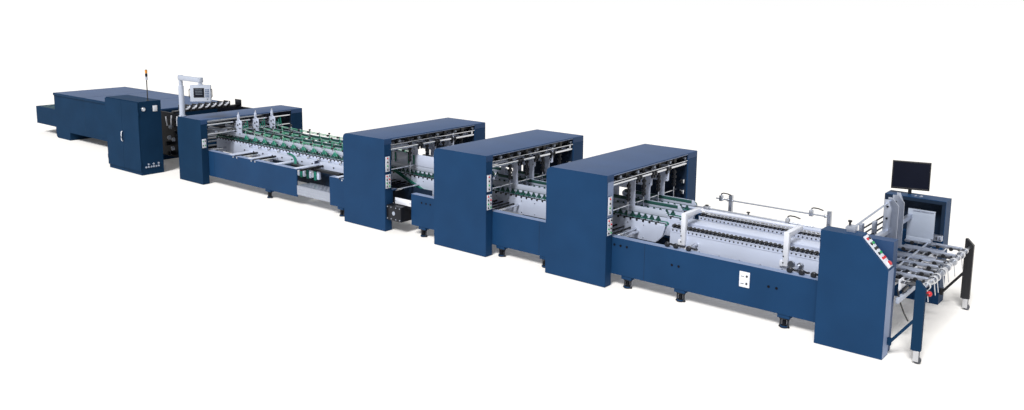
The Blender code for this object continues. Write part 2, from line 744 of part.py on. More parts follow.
def make_carriers(finishes):
    high = GANTRY_HEIGHT - UPPER_SHAFT_DROP
    folding_high = EXIT_HEIGHT - UPPER_SHAFT_DROP
    folding_end = GLUING_LEFT + SHAFT_INSET - CARRIER_GAP
    gluing_end = LOCK_LEFT + SHAFT_INSET - CARRIER_GAP
    lock_end = PREFOLD_LEFT + SHAFT_INSET - CARRIER_GAP
    prefold_end = PREFOLD_RIGHT + PREFOLD_NOSE
    sections = (
        ("folding", FOLDING_START, folding_end, (EXIT_LENGTH / 2, GLUING_LEFT - SHAFT_INSET / 2)),
        ("gluing", GLUING_LEFT + SHAFT_INSET, gluing_end, shaft_places(GLUING_LEFT, GLUING_RIGHT)),
        ("lock", LOCK_LEFT + SHAFT_INSET, lock_end, shaft_places(LOCK_LEFT, LOCK_RIGHT)),
        ("prefold", PREFOLD_LEFT + SHAFT_INSET, prefold_end, shaft_places(PREFOLD_LEFT, PREFOLD_RIGHT)),
    )
    for name, start, end, places in sections:
        lower_carriers(f"{name}_lower_carriers", start, end, places, finishes["white"])
        shafts = [(x, high) for x in places]
        more = []
        if name == "folding":
            shafts = [(GLUING_LEFT + SHAFT_INSET / 2, folding_high)]
            more = exit_hangers(end)
        upper_carriers(f"{name}_upper_carriers", start, end, shafts, finishes["white"], more)


def shaft_places(left, right):
    """Where the two cross shafts of a gantry stand along the line."""
    return (left + FIRST_SHAFT_INSET, right - LAST_SHAFT_INSET)


def make_transfer(finishes):
    """Two carriers with rows of close rollers, the arms over them, and the far gauge rod."""
    start = PREFOLD_RIGHT + PREFOLD_NOSE + CARRIER_GAP
    end = TABLE_BAR_START - TRANSFER_END_GAP
    pieces = []
    for y in (CARRIER_YS[0], CARRIER_YS[2]):
        for offset in (-1, 1):
            middle = y + offset * (ROLLER_WIDTH / 2 + TRANSFER_SIDE)
            outer = offset * (y - CARRIER_YS[1]) > 0
            low = CARRIER_LOW if outer else CARRIER_PLATE_TOP - TRANSFER_INNER_DEPTH
            pieces.append(
                box(
                    (start, middle - TRANSFER_SIDE, low),
                    (end, middle + TRANSFER_SIDE, WORKING_HEIGHT - TRANSFER_LIP),
                )
            )
        count = int((end - start - ROLLER_PITCH) / ROLLER_PITCH)
        for index in range(count):
            x = start + ROLLER_PITCH * (index + 1)
            z = WORKING_HEIGHT - ROLLER_RADIUS
            near = (x, y - ROLLER_WIDTH / 2 - TRANSFER_SIDE / 2, z)
            far = (x, y + ROLLER_WIDTH / 2 + TRANSFER_SIDE / 2, z)
            pieces.append(rod(near, far, ROLLER_RADIUS, segments=ROLLER_SEGMENTS))
    shaft_xs = (start + TRANSFER_SHAFT_INSET, FEEDER_LEFT - TRANSFER_SHAFT_INSET)
    for x in shaft_xs:
        near = (x, FRAME_NEAR_INNER + SEAT, LOWER_SHAFT_Z)
        far = (x, FRAME_FAR_INNER - SEAT, LOWER_SHAFT_Z)
        pieces.append(rod(near, far, LOWER_SHAFT_RADIUS, segments=SHAFT_SEGMENTS))
    for y, width in SUPPORT_PLATES:
        low = SUPPORT_TOP - SUPPORT_THICKNESS
        pieces.append(box((start, y, low), (end, y + width, SUPPORT_TOP)))
        for x in shaft_xs:
            pieces.append(
                box(
                    (x - SUPPORT_POST / 2, y + SUPPORT_POST_INSET, LOWER_SHAFT_Z),
                    (x + SUPPORT_POST / 2, y + width - SUPPORT_POST_INSET, low + SUPPORT_THICKNESS / 2),
                )
            )
    node("transfer_roller_carriers", finishes["white"], pieces)

    arms = []
    half = ARM_BAR / 2
    plate_face = CARRIER_YS[0] - ROLLER_WIDTH / 2 - 2 * TRANSFER_SIDE
    post_y = plate_face - SEAT - half
    for x in ARM_PLACES:
        post_low = (x - half, post_y - half, CARRIER_LOW + ARM_FOOT_RISE)
        arms.append(box(post_low, (x + half, post_y + half, ARM_TOP)))
        arms.append(
            box(
                (x - half + FACE_STEP, post_y, ARM_TOP - ARM_BAR),
                (x + half - FACE_STEP, post_y + ARM_REACH, ARM_TOP - FACE_STEP),
            )
        )
    far_y = post_y + ARM_REACH - half
    rail_top = ARM_TOP - ARM_RAIL_DROP
    arms.append(
        box(
            (ARM_PLACES[0], far_y - ARM_RAIL_WIDTH / 2, rail_top - ARM_RAIL_DEPTH),
            (ARM_PLACES[1], far_y + ARM_RAIL_WIDTH / 2, rail_top),
        )
    )
    node("transfer_arms", finishes["white"], arms)

    posts = []
    foot_z = FRAME_TOP + FLANGE_RISE + SEAT
    post_y = FAR_INNER - FLANGE_WIDTH / 2
    for x in GAUGE_POST_PLACES:
        size = GAUGE_POST / 2
        posts.append(
            box((x - size, post_y - size, foot_z), (x + size, post_y + size, foot_z + GAUGE_POST_HEIGHT))
        )
    rod_z = foot_z + GAUGE_POST_HEIGHT - GAUGE_ROD_DROP
    posts.append(
        rod(
            (GAUGE_POST_PLACES[0] - GAUGE_ROD_OVERHANG, post_y, rod_z),
            (GAUGE_POST_PLACES[1], post_y, rod_z),
            GAUGE_ROD_RADIUS,
            segments=SHAFT_SEGMENTS,
        )
    )
    node("far_gauge_rod", finishes["steel"], posts)


def make_feeder(finishes):
    left = FEEDER_LEFT
    right = FEEDER_RIGHT
    near_y = -FEEDER_SET_OUT
    inner_y = near_y + FEEDER_NEAR_WALL
    slope_x = right - FEEDER_CHAMFER_RUN
    slope_z = FEEDER_NEAR_HEIGHT - FEEDER_CHAMFER_DROP
    outline = [
        (left, 0.0),
        (right, 0.0),
        (right, slope_z),
        (slope_x, FEEDER_NEAR_HEIGHT),
        (left, FEEDER_NEAR_HEIGHT),
    ]
    near = slab(outline, near_y, inner_y)
    node("feeder_near_housing", finishes["navy"], [near])

    cover = box(
        (left + INNER_COVER_INSET, inner_y + SEAT, 0.0),
        (right - INNER_COVER_INSET, inner_y + SEAT + INNER_COVER_WIDTH, INNER_COVER_HEIGHT),
    )
    node("feeder_inner_cover", finishes["slate"], [cover])

    far_low = LINE_WIDTH - FEEDER_FAR_WALL
    far = box((left, far_low, 0.0), (right, LINE_WIDTH, FEEDER_FAR_HEIGHT))
    tray = box(
        (left + TRAY_RIM, far_low - JOINT_DEPTH, TRAY_LOW),
        (right - TRAY_RIM, far_low + TRAY_DEPTH, FEEDER_FAR_HEIGHT - TRAY_RIM),
    )
    node("feeder_far_housing", finishes["navy"], [far], [tray])

    # The operator strip lies on the slanted edge of the near housing
    top = Vector((slope_x, 0.0, FEEDER_NEAR_HEIGHT))
    bottom = Vector((right, 0.0, slope_z))
    down = (bottom - top).normalized()
    out = Vector((-down.z, 0.0, down.x))
    middle_y = near_y + FEEDER_NEAR_WALL / 2
    lift = out * (SEAT + STRIP_THICKNESS / 2)
    start = top + down * STRIP_END + lift
    end = bottom - down * STRIP_END + lift
    start.y = middle_y
    end.y = middle_y
    pieces = [bar(start, end, STRIP_WIDTH, STRIP_THICKNESS)]
    length = (end - start).length
    spacing = length / (BUTTON_GROUPS + 1)
    for group in range(BUTTON_GROUPS):
        for offset in (-STRIP_WIDTH / 4, STRIP_WIDTH / 4):
            foot = start + down * (spacing * (group + 0.5)) + Vector((0.0, offset, 0.0))
            head = foot + out * (STRIP_THICKNESS / 2 + BUTTON_RISE)
            pieces.append(rod(foot, head, BUTTON_RADIUS, segments=SMALL_SEGMENTS))
    foot = end - down * STOP_BUTTON_END
    head = foot + out * (STRIP_THICKNESS / 2 + STOP_BUTTON_RISE)
    pieces.append(rod(foot, head, STOP_BUTTON_RADIUS, segments=SHAFT_SEGMENTS))
    node("operator_strip", finishes["white"], pieces)

    cover_inner = inner_y + SEAT + INNER_COVER_WIDTH + SEAT
    half = GAUGE_BEAM / 2
    tray_back = far_low + TRAY_DEPTH
    pieces = [
        box(
            (GAUGE_BEAM_X - half, cover_inner, GAUGE_BEAM_Z - half),
            (GAUGE_BEAM_X + half, tray_back - SEAT, GAUGE_BEAM_Z + half),
        )
    ]
    middle = (cover_inner + far_low) / 2
    for index in range(GAUGE_PLATE_COUNT):
        y = middle + GAUGE_PLATE_SPACING * (index - (GAUGE_PLATE_COUNT - 1) / 2)
        plate_start = GAUGE_BEAM_X - half + GAUGE_PLATE_INSET
        plate_end = plate_start + GAUGE_PLATE_DEPTH
        outline = [
            (plate_start, GAUGE_PLATE_LOW),
            (plate_end, GAUGE_PLATE_LOW),
            (plate_end, GAUGE_PLATE_TOP - GAUGE_CHAMFER_DROP),
            (plate_end - GAUGE_CHAMFER_RUN, GAUGE_PLATE_TOP),
            (plate_start, GAUGE_PLATE_TOP),
        ]
        pieces.append(slab(outline, y - GAUGE_PLATE_THICKNESS / 2, y + GAUGE_PLATE_THICKNESS / 2))
    clamp_low = FEEDER_NEAR_HEIGHT + SEAT
    clamp_far = inner_y - SHEET_EDGE
    pieces.append(
        box(
            (GAUGE_CLAMP_START, clamp_far - GAUGE_CLAMP_DEPTH, clamp_low),
            (GAUGE_CLAMP_START + GAUGE_CLAMP_LENGTH, clamp_far, clamp_low + GAUGE_CLAMP_HEIGHT),
        )
    )
    first_plate_y = middle - GAUGE_PLATE_SPACING * (GAUGE_PLATE_COUNT - 1) / 2
    stay_foot = (
        GAUGE_CLAMP_START + GAUGE_CLAMP_LENGTH / 2,
        clamp_far - GAUGE_CLAMP_DEPTH / 2,
        clamp_low + GAUGE_CLAMP_HEIGHT / 2,
    )
    stay_head = (GAUGE_BEAM_X, first_plate_y, GAUGE_PLATE_TOP - GAUGE_STAY_DROP)
    pieces.append(rod(stay_foot, stay_head, GAUGE_STAY_RADIUS, segments=SHAFT_SEGMENTS))
    node("front_gauge", finishes["steel"], pieces)


def make_feed_table(finishes):
    pieces = []
    near = LEG_NEAR_Y + LEG_THICKNESS / 2 + SEAT
    far = LEG_FAR_Y - LEG_THICKNESS / 2 - SEAT
    for x, low_y, high_y in ((TABLE_SHAFT_X, near, far), (TABLE_BACK_SHAFT_X, TABLE_NEAR_Y, TABLE_FAR_Y)):
        start = (x, low_y, TABLE_SHAFT_Z)
        end = (x, high_y, TABLE_SHAFT_Z)
        pieces.append(rod(start, end, TABLE_SHAFT_RADIUS, segments=SHAFT_SEGMENTS))
    bar_low = TABLE_SHAFT_Z - TABLE_BAR_SINK
    bar_ys = [TABLE_NEAR_Y + (TABLE_FAR_Y - TABLE_NEAR_Y) * share for share in TABLE_BAR_PLACES]
    for y in bar_ys:
        pieces.append(
            box(
                (TABLE_BAR_START, y - TABLE_BAR_WIDTH / 2, bar_low),
                (TABLE_SHAFT_X + TABLE_BAR_OVERHANG, y + TABLE_BAR_WIDTH / 2, bar_low + TABLE_BAR_DEPTH),
            )
        )
    stop_start = GAUGE_BEAM_X + GAUGE_BEAM / 2 + SIDE_STOP_GAP
    stop_low = (stop_start, bar_ys[-1] - SIDE_STOP_THICKNESS / 2, bar_low + TABLE_BAR_DEPTH / 2)
    stop_high = (stop_start + SIDE_STOP_LENGTH, bar_ys[-1] + SIDE_STOP_THICKNESS / 2, SIDE_STOP_TOP)
    pieces.append(box(stop_low, stop_high))
    for low_bar, high_bar in zip(bar_ys, bar_ys[1:]):
        collar_y = (low_bar + high_bar) / 2
        pieces.append(
            rod(
                (TABLE_SHAFT_X, collar_y - COLLAR_WIDTH / 2, TABLE_SHAFT_Z),
                (TABLE_SHAFT_X, collar_y + COLLAR_WIDTH / 2, TABLE_SHAFT_Z),
                COLLAR_RADIUS,
                segments=SHAFT_SEGMENTS,
            )
        )
    half = APRON_THICKNESS / 2
    apron_low = (TABLE_BACK_SHAFT_X - half, TABLE_NEAR_Y + APRON_INSET, TABLE_SHAFT_Z - APRON_DEPTH)
    apron_high = (TABLE_BACK_SHAFT_X + half, TABLE_FAR_Y - APRON_INSET, TABLE_SHAFT_Z + APRON_RISE)
    pieces.append(box(apron_low, apron_high))
    node("feed_table", finishes["steel"], pieces)

    for name, y in (("near", LEG_NEAR_Y), ("far", LEG_FAR_Y)):
        make_feed_leg(name, y, finishes)


def make_feed_leg(name, y, finishes):
    """A leg of the feed table, tied back to the feeder by a strut, and its caster."""
    left = TABLE_SHAFT_X - LEG_WIDTH / 2
    right = TABLE_SHAFT_X + LEG_WIDTH / 2
    outline = [
        (left, LEG_LOW),
        (right, LEG_LOW),
        (right, LEG_TOP - LEG_CHAMFER),
        (right - LEG_CHAMFER, LEG_TOP),
        (left, LEG_TOP),
    ]
    low_y = y - LEG_THICKNESS / 2
    pieces = [slab(outline, low_y, low_y + LEG_THICKNESS)]
    foot = (FEEDER_RIGHT + SEAT + STRUT_BAR, y, STRUT_FOOT_Z)
    head = (TABLE_SHAFT_X, y, STRUT_TOP_Z)
    pieces.append(bar(foot, head, STRUT_BAR, STRUT_BAR))
    pieces.append(
        box(
            (FEEDER_RIGHT + SEAT, y - STRUT_BAR / 2, STRUT_FOOT_Z - STRUT_PLATE / 2),
            (foot[0] + JOINT_DEPTH, y + STRUT_BAR / 2, STRUT_FOOT_Z + STRUT_PLATE / 2),
        )
    )
    finish = finishes["navy"] if name == "near" else finishes["black"]
    node(f"{name}_feed_leg", finish, pieces)

    # The caster swivels about the leg's middle and trails behind it
    swivel = (TABLE_SHAFT_X, y, LEG_LOW)
    wheel = (TABLE_SHAFT_X + CASTER_TRAIL, y, CASTER_WHEEL_RADIUS)
    plate_top = LEG_LOW - SEAT
    cheek = CASTER_WHEEL_WIDTH / 2 + CASTER_WHEEL_GAP
    pieces = [
        rod(
            (swivel[0], y, plate_top - CASTER_PLATE),
            (swivel[0], y, plate_top),
            CASTER_PLATE_RADIUS,
            pivot=swivel,
        )
    ]
    for side in (-1, 1):
        inner = y + side * cheek
        outer = inner + side * CASTER_FORK_PLATE
        pieces.append(
            box(
                (swivel[0] - CASTER_FORK_BACK, min(inner, outer), CASTER_WHEEL_RADIUS - CASTER_FORK_DROP),
                (wheel[0] + CASTER_FORK_FRONT, max(inner, outer), plate_top - FACE_STEP),
                pivot=swivel,
            )
        )
    axle_reach = cheek + CASTER_FORK_PLATE + CASTER_AXLE_END
    pieces.append(
        rod(
            (wheel[0], y - axle_reach, wheel[2]),
            (wheel[0], y + axle_reach, wheel[2]),
            CASTER_AXLE_RADIUS,
            segments=12,
            pivot=swivel,
        )
    )
    node(f"{name}_caster_fork", finishes["chrome"], pieces)
    tyre = rod(
        (wheel[0], y - CASTER_WHEEL_WIDTH / 2, wheel[2]),
        (wheel[0], y + CASTER_WHEEL_WIDTH / 2, wheel[2]),
        CASTER_WHEEL_RADIUS,
        segments=24,
        pivot=wheel,
    )
    bore = rod(
        (wheel[0], y - CASTER_WHEEL_WIDTH, wheel[2]),
        (wheel[0], y + CASTER_WHEEL_WIDTH, wheel[2]),
        CASTER_AXLE_RADIUS + CASTER_BORE_GAP,
        segments=12,
        pivot=wheel,
    )
    node(f"{name}_caster_wheel", finishes["rubber"], [tyre], [bore])


def make_monitor(finishes):
    post_y = LINE_WIDTH - FEEDER_FAR_WALL / 2 + MONITOR_POST_SET_BACK
    pivot = Vector((MONITOR_POST_X, post_y, FEEDER_FAR_HEIGHT + SEAT))
    facing = Matrix.Rotation(MONITOR_TURN, 3, "Z")
    post_top = MONITOR_CENTRE_Z
    pieces = [rod(pivot, (pivot.x, pivot.y, post_top), MONITOR_POST_RADIUS, pivot=pivot)]
    screen_out = facing @ Vector((0.0, -1.0, 0.0))
    level = facing @ Vector((1.0, 0.0, 0.0))
    stand_off = MONITOR_POST_RADIUS + MONITOR_STAND_OFF
    centre = Vector((pivot.x, pivot.y, MONITOR_CENTRE_Z)) + screen_out * stand_off
    left = centre - level * MONITOR_WIDTH / 2
    right = centre + level * MONITOR_WIDTH / 2
    pieces.append(bar(left, right, MONITOR_THICKNESS, MONITOR_HEIGHT, pivot=pivot))
    node("monitor", finishes["black"], pieces)


def make_pendant(finishes):
    foot = (PENDANT_POST_X, PENDANT_POST_Y, EXIT_HEIGHT + SEAT)
    arm_low = PENDANT_TOP - PENDANT_ARM
    post = rod(foot, (foot[0], foot[1], arm_low - SEAT), PENDANT_POST_RADIUS)
    node("pendant_post", finishes["pendant"], [post])

    end_x = PENDANT_POST_X + PENDANT_ARM_LENGTH
    swivel = (PENDANT_POST_X, PENDANT_POST_Y, arm_low)
    half = PENDANT_ARM / 2
    pieces = [
        box((swivel[0], swivel[1] - half, arm_low), (end_x, swivel[1] + half, PENDANT_TOP), pivot=swivel),
        rod(
            (swivel[0], swivel[1], arm_low + FACE_STEP),
            (swivel[0], swivel[1], PENDANT_TOP + FACE_STEP),
            PENDANT_POST_RADIUS + PENDANT_COLLAR,
            pivot=swivel,
        ),
        rod(
            (end_x, swivel[1], arm_low - PENDANT_BOSS),
            (end_x, swivel[1], PENDANT_TOP + FACE_STEP),
            PENDANT_POST_RADIUS,
            pivot=swivel,
        ),
    ]
    node("pendant_arm", finishes["pendant"], pieces)

    width, depth, height = PENDANT_BOX
    box_top = arm_low - PENDANT_DROP
    hang = Vector((end_x, swivel[1], arm_low - PENDANT_BOSS - SEAT))
    level = Matrix.Rotation(PENDANT_TURN, 3, "Z") @ Vector((width / 2, 0.0, 0.0))
    middle = Vector((end_x, swivel[1], box_top - height / 2))
    pieces = [
        bar(middle - level, middle + level, depth, height, pivot=hang),
        rod((end_x, swivel[1], box_top - JOINT_DEPTH), hang, PENDANT_NECK_RADIUS, pivot=hang),
    ]
    node("pendant_screen_box", finishes["pendant"], pieces)


def make_intake(finishes):
    """The roller stand between the exit gantry and the press, with a row of holders on top."""
    start = PRESS_RIGHT + SEAT
    pieces = []
    walls = ((-INTAKE_NEAR_GAP, INTAKE_NEAR_Y), (-SEAT, INTAKE_FAR_Y - INTAKE_WALL))
    for end, low_y in walls:
        outline = [
            (start, 0.0),
            (start + INTAKE_LEG, 0.0),
            (start + INTAKE_LEG, INTAKE_LOW),
            (end - INTAKE_LEG, INTAKE_LOW),
            (end - INTAKE_LEG, 0.0),
            (end, 0.0),
            (end, INTAKE_HEIGHT),
            (start, INTAKE_HEIGHT),
        ]
        pieces.append(slab(outline, low_y, low_y + INTAKE_WALL))
    for x, z in INTAKE_ROLLERS:
        near = (x, INTAKE_NEAR_Y - INTAKE_ROLLER_END, z)
        far = (x, INTAKE_FAR_Y - INTAKE_WALL / 2, z)
        pieces.append(rod(near, far, INTAKE_ROLLER_RADIUS, segments=12))
    node("intake_roller_stand", finishes["steel"], pieces)

    rail_z = INTAKE_HEIGHT + SEAT
    half = HOLDER_RAIL / 2
    pieces = [
        box(
            (HOLDER_X - half, INTAKE_NEAR_Y, rail_z),
            (HOLDER_X + half, INTAKE_FAR_Y, rail_z + HOLDER_RAIL_DEPTH),
        )
    ]
    for index in range(HOLDER_COUNT):
        y = HOLDER_START_Y + HOLDER_PITCH * index
        pieces.append(
            box(
                (HOLDER_X - HOLDER_LENGTH / 2, y - HOLDER_THICKNESS / 2, rail_z + JOINT_DEPTH),
                (HOLDER_X + HOLDER_LENGTH / 2, y + HOLDER_THICKNESS / 2, rail_z + HOLDER_RISE),
            )
        )
    node("intake_holders", finishes["black"], pieces)


def door_handle(x, pivot):
    """An upright bar on two studs."""
    y = DOOR_FRONT - HANDLE_REACH
    low = HANDLE_Z - HANDLE_LENGTH / 2
    high = HANDLE_Z + HANDLE_LENGTH / 2
    pieces = [bar((x, y, low), (x, y, high), HANDLE_BAR, HANDLE_BAR_DEPTH, pivot=pivot)]
    for z in (low + HANDLE_BAR, high - HANDLE_BAR):
        root = (x, DOOR_FRONT + HANDLE_STUD / 4, z)
        pieces.append(rod(root, (x, y, z), HANDLE_STUD / 2, segments=SMALL_SEGMENTS, pivot=pivot))
    return pieces


def make_cabinet(finishes):
    right = CABINET_RIGHT
    back = CABINET_FRONT + CABINET_DEPTH
    wall = CABINET_WALL
    shell = box((CABINET_LEFT, CABINET_FRONT, 0.0), (right, back, CABINET_HEIGHT))
    hollow = box(
        (CABINET_LEFT + wall, CABINET_FRONT - wall, CABINET_PLINTH + wall),
        (right - wall, back - wall, CABINET_HEIGHT - wall),
    )
    node("cabinet_shell", finishes["navy"], [shell], [hollow])
    middle = (CABINET_LEFT + right) / 2
    door_back = CABINET_FRONT - DOOR_GAP
    hinge_y = (door_back + DOOR_FRONT) / 2
    leaves = (
        ("cabinet_left_door", CABINET_LEFT, middle - DOOR_GAP / 2, CABINET_LEFT),
        ("cabinet_right_door", middle + DOOR_GAP / 2, right, right),
    )
    door_top = CABINET_HEIGHT - CABINET_DOOR
    for name, low_x, high_x, hinge_x in leaves:
        pivot = (hinge_x, hinge_y, 0.0)
        pieces = [box((low_x, DOOR_FRONT, CABINET_PLINTH), (high_x, door_back, door_top), pivot=pivot)]
        for z in (HINGE_HEIGHT, CABINET_HEIGHT - HINGE_HEIGHT):
            low = (hinge_x, hinge_y, z - HINGE_LENGTH / 2)
            high = (hinge_x, hinge_y, z + HINGE_LENGTH / 2)
            pieces.append(rod(low, high, HINGE_KNUCKLE_RADIUS, segments=12, pivot=pivot))
        if name == "cabinet_right_door":
            pieces += door_handle(low_x + HANDLE_INSET, pivot)
        node(name, finishes["navy"], pieces)

    tower_y = CABINET_FRONT + CABINET_DEPTH / 2
    base = CABINET_HEIGHT + SEAT
    top = base + TOWER_HEIGHT
    foot = (TOWER_X, tower_y, base)
    pieces = [
        rod(foot, (TOWER_X, tower_y, top), TOWER_STEM_RADIUS, segments=SMALL_SEGMENTS),
        rod(foot, (TOWER_X, tower_y, base + TOWER_BASE_HEIGHT), TOWER_BASE_RADIUS, segments=SHAFT_SEGMENTS),
    ]
    for index in range(TOWER_LAMPS):
        low = top - TOWER_LAMP_DROP - TOWER_LAMP_PITCH * index
        head = (TOWER_X, tower_y, low + TOWER_LAMP_HEIGHT)
        pieces.append(rod((TOWER_X, tower_y, low), head, TOWER_RADIUS, segments=SHAFT_SEGMENTS))
    node("signal_tower", finishes["black"], pieces)


def make_press(finishes):
    body_top = PRESS_HEIGHT - PRESS_COVER_DEPTH - SEAT
    leg_end = PRESS_LEFT + PRESS_LEG_LENGTH
    outline = corner(PRESS_LEFT + PRESS_LEG_CORNER, PRESS_LEG_CORNER, PRESS_LEG_CORNER, 180.0, 3)
    outline += [
        (leg_end, 0.0),
        (leg_end, PRESS_LOW),
        (PRESS_RIGHT - PRESS_LEG_LENGTH, PRESS_LOW),
        (PRESS_RIGHT - PRESS_LEG_LENGTH, 0.0),
        (PRESS_RIGHT, 0.0),
        (PRESS_RIGHT, body_top),
        (PRESS_LEFT, body_top),
    ]
    body = slab(outline, PRESS_NEAR_Y, PRESS_FAR_Y - PRESS_COVER_LIP)
    node("press_body", finishes["navy"], [body])
    cover = box(
        (PRESS_LEFT, PRESS_NEAR_Y - PRESS_COVER_LIP, PRESS_HEIGHT - PRESS_COVER_DEPTH),
        (PRESS_RIGHT, PRESS_FAR_Y, PRESS_HEIGHT),
    )
    soften(node("press_cover", finishes["slate"], [cover]), SHEET_EDGE)
    low_y = PRESS_NEAR_Y + DELIVERY_INSET
    high_y = PRESS_FAR_Y - PRESS_COVER_LIP - DELIVERY_INSET
    table = box(
        (DELIVERY_LEFT + DELIVERY_PLATE + SEAT, low_y, DELIVERY_LOW),
        (PRESS_LEFT - SEAT, high_y, DELIVERY_TOP),
    )
    node("delivery_table", finishes["navy"], [table])
    plate = box(
        (DELIVERY_LEFT, low_y, DELIVERY_LOW),
        (DELIVERY_LEFT + DELIVERY_PLATE, high_y, DELIVERY_TOP),
    )
    node("delivery_end_plate", finishes["steel"], [plate])


def make_drive(finishes):
    """The drive unit beside the gluing gantry, with the bracket that ties it to the main frame."""
    left = GLUING_RIGHT + SEAT
    unit = box(
        (left, DRIVE_UNIT_FRONT, DRIVE_UNIT_LOW),
        (left + DRIVE_UNIT_LENGTH, DRIVE_UNIT_FRONT + DRIVE_UNIT_DEPTH, DRIVE_UNIT_TOP),
    )
    bracket = box(
        (left + DRIVE_BRACKET_START, NEAR_INNER, DRIVE_UNIT_TOP - DRIVE_BRACKET_DEPTH),
        (DRIVE_OPENING_END - SEAT, NEAR_INNER + DRIVE_BRACKET_DEPTH, DRIVE_BRACKET_TOP),
    )
    node("gluing_drive_unit", finishes["black"], [unit, bracket])


def main():
    clear_scene()
    finishes = make_materials()
    make_gantry("exit", 0.0, EXIT_RIGHT, EXIT_HEIGHT, EXIT_CONTROL_STRIPS, finishes)
    make_gantry("gluing", GLUING_LEFT, GLUING_RIGHT, GANTRY_HEIGHT, CONTROL_STRIPS, finishes)
    make_gantry("lock", LOCK_LEFT, LOCK_RIGHT, GANTRY_HEIGHT, CONTROL_STRIPS, finishes)
    make_gantry("prefold", PREFOLD_LEFT, PREFOLD_RIGHT, GANTRY_HEIGHT, CONTROL_STRIPS, finishes)
    make_frames(finishes)
    make_carriers(finishes)
    make_transfer(finishes)
    make_feeder(finishes)
    make_feed_table(finishes)
    make_monitor(finishes)
    make_pendant(finishes)
    make_intake(finishes)
    make_cabinet(finishes)
    make_press(finishes)
    make_drive(finishes)


main()
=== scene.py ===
# %% [markdown]
# A lock bottom folder gluer is a long line: a feeder takes carton blanks from a pile, belts carry them
# under four gantries that fold and glue them, and a press holds them flat until the glue has set.
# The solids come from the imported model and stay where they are. This lesson dresses them: first the
# camera, the lights and the finishes, then the fine pieces of each section in turn.

# %% Load the fixed frame
import math

import bmesh
import bpy
from mathutils import Matrix, Vector


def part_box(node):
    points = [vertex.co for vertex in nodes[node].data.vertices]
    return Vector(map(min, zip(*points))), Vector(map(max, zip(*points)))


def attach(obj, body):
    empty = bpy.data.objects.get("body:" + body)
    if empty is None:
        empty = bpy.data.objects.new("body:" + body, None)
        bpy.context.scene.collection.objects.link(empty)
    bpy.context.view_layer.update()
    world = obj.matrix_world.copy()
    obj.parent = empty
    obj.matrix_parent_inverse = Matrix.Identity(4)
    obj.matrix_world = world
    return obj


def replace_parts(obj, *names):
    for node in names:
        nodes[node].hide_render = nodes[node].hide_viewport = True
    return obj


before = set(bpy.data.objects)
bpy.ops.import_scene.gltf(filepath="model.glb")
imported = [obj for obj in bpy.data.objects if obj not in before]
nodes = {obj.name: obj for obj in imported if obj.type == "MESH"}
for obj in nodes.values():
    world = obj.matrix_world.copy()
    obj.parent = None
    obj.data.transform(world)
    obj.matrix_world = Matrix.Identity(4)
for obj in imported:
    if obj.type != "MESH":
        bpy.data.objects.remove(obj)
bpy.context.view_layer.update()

# %% [markdown]
# All places below are written in the line's own frame: X along the line from the left edge of the exit
# gantry, Y away from the operator, Z up. The near housing of that gantry has its low corner at zero,
# so its box gives the step from this frame to the world.

# %% Places in the line's own frame
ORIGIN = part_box("exit_near_housing")[0]


def at(x, y, z):
    """A point of the line's own frame, as a world point."""
    return ORIGIN + Vector((x, y, z))


def reach(node_name):
    """A node's box, as two corners in the line's own frame."""
    low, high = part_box(node_name)
    return low - ORIGIN, high - ORIGIN


print("the line's zero is at", tuple(round(value, 4) for value in ORIGIN))

# %% [markdown]
# The camera stands on the operator's side, beyond the feeder, a little under four metres up. Its place
# and turn come from the vanishing lines of the housings. The lens is shifted down a little, because the
# photograph's own frame is cut closer at the top than at the bottom.

# %% The camera
CAMERA_PLACE = (16.423, -9.578, 3.892)
CAMERA_YAW = 0.6827
CAMERA_PITCH = -0.1577
CAMERA_ROLL = 0.0088
SENSOR_MM = 36.0
FOCAL_MM = 31.63
SHIFT_DOWN = 0.0733
FAR_CLIP = 200.0

camera_data = bpy.data.cameras.new("studio_camera")
camera_data.sensor_width = SENSOR_MM
camera_data.lens = FOCAL_MM
camera_data.shift_y = -SHIFT_DOWN
camera_data.clip_end = FAR_CLIP
camera = bpy.data.objects.new("studio_camera", camera_data)
bpy.context.scene.collection.objects.link(camera)
turn = Matrix.Rotation(CAMERA_YAW, 4, "Z")
turn = turn @ Matrix.Rotation(math.pi / 2 + CAMERA_PITCH, 4, "X")
turn = turn @ Matrix.Rotation(CAMERA_ROLL, 4, "Z")
camera.matrix_world = Matrix.Translation(at(*CAMERA_PLACE)) @ turn
bpy.context.scene.camera = camera
print("camera at", tuple(round(value, 3) for value in camera.location))

# %% [markdown]
# A finish starts from what the real surface is. Two helpers are enough: one turns a screen colour into
# the linear colour that a shader wants, the other adds any node with its settings and links.


# %% Helpers for finishes
ROUGHNESS_SPREAD = 0.06
PATCH_DARK_END, PATCH_LIGHT_START = 0.3, 0.7


def paint(code):
    """The linear colour of a screen colour such as 2B4A73."""
    channels = [int(code[index : index + 2], 16) / 255 for index in (0, 2, 4)]
    linear = [c / 12.92 if c <= 0.04045 else ((c + 0.055) / 1.055) ** 2.4 for c in channels]
    return (*linear, 1.0)


def add(tree, kind, inputs=None, **settings):
    """Adds one node; inputs holds a value or another node's output for each socket."""
    made = tree.nodes.new(kind)
    for name, value in settings.items():
        setattr(made, name, value)
    for socket, value in (inputs or {}).items():
        if isinstance(value, bpy.types.NodeSocket):
            tree.links.new(value, made.inputs[socket])
        else:
            made.inputs[socket].default_value = value
    return made


def scaled(tree, wave_mm):
    """Object coordinates stretched so that one unit is one wave of the given X, Y and Z length."""
    place = add(tree, "ShaderNodeTexCoord").outputs["Object"]
    scale = tuple(1000.0 / length for length in wave_mm)
    return add(tree, "ShaderNodeMapping", {"Vector": place, "Scale": scale}).outputs["Vector"]


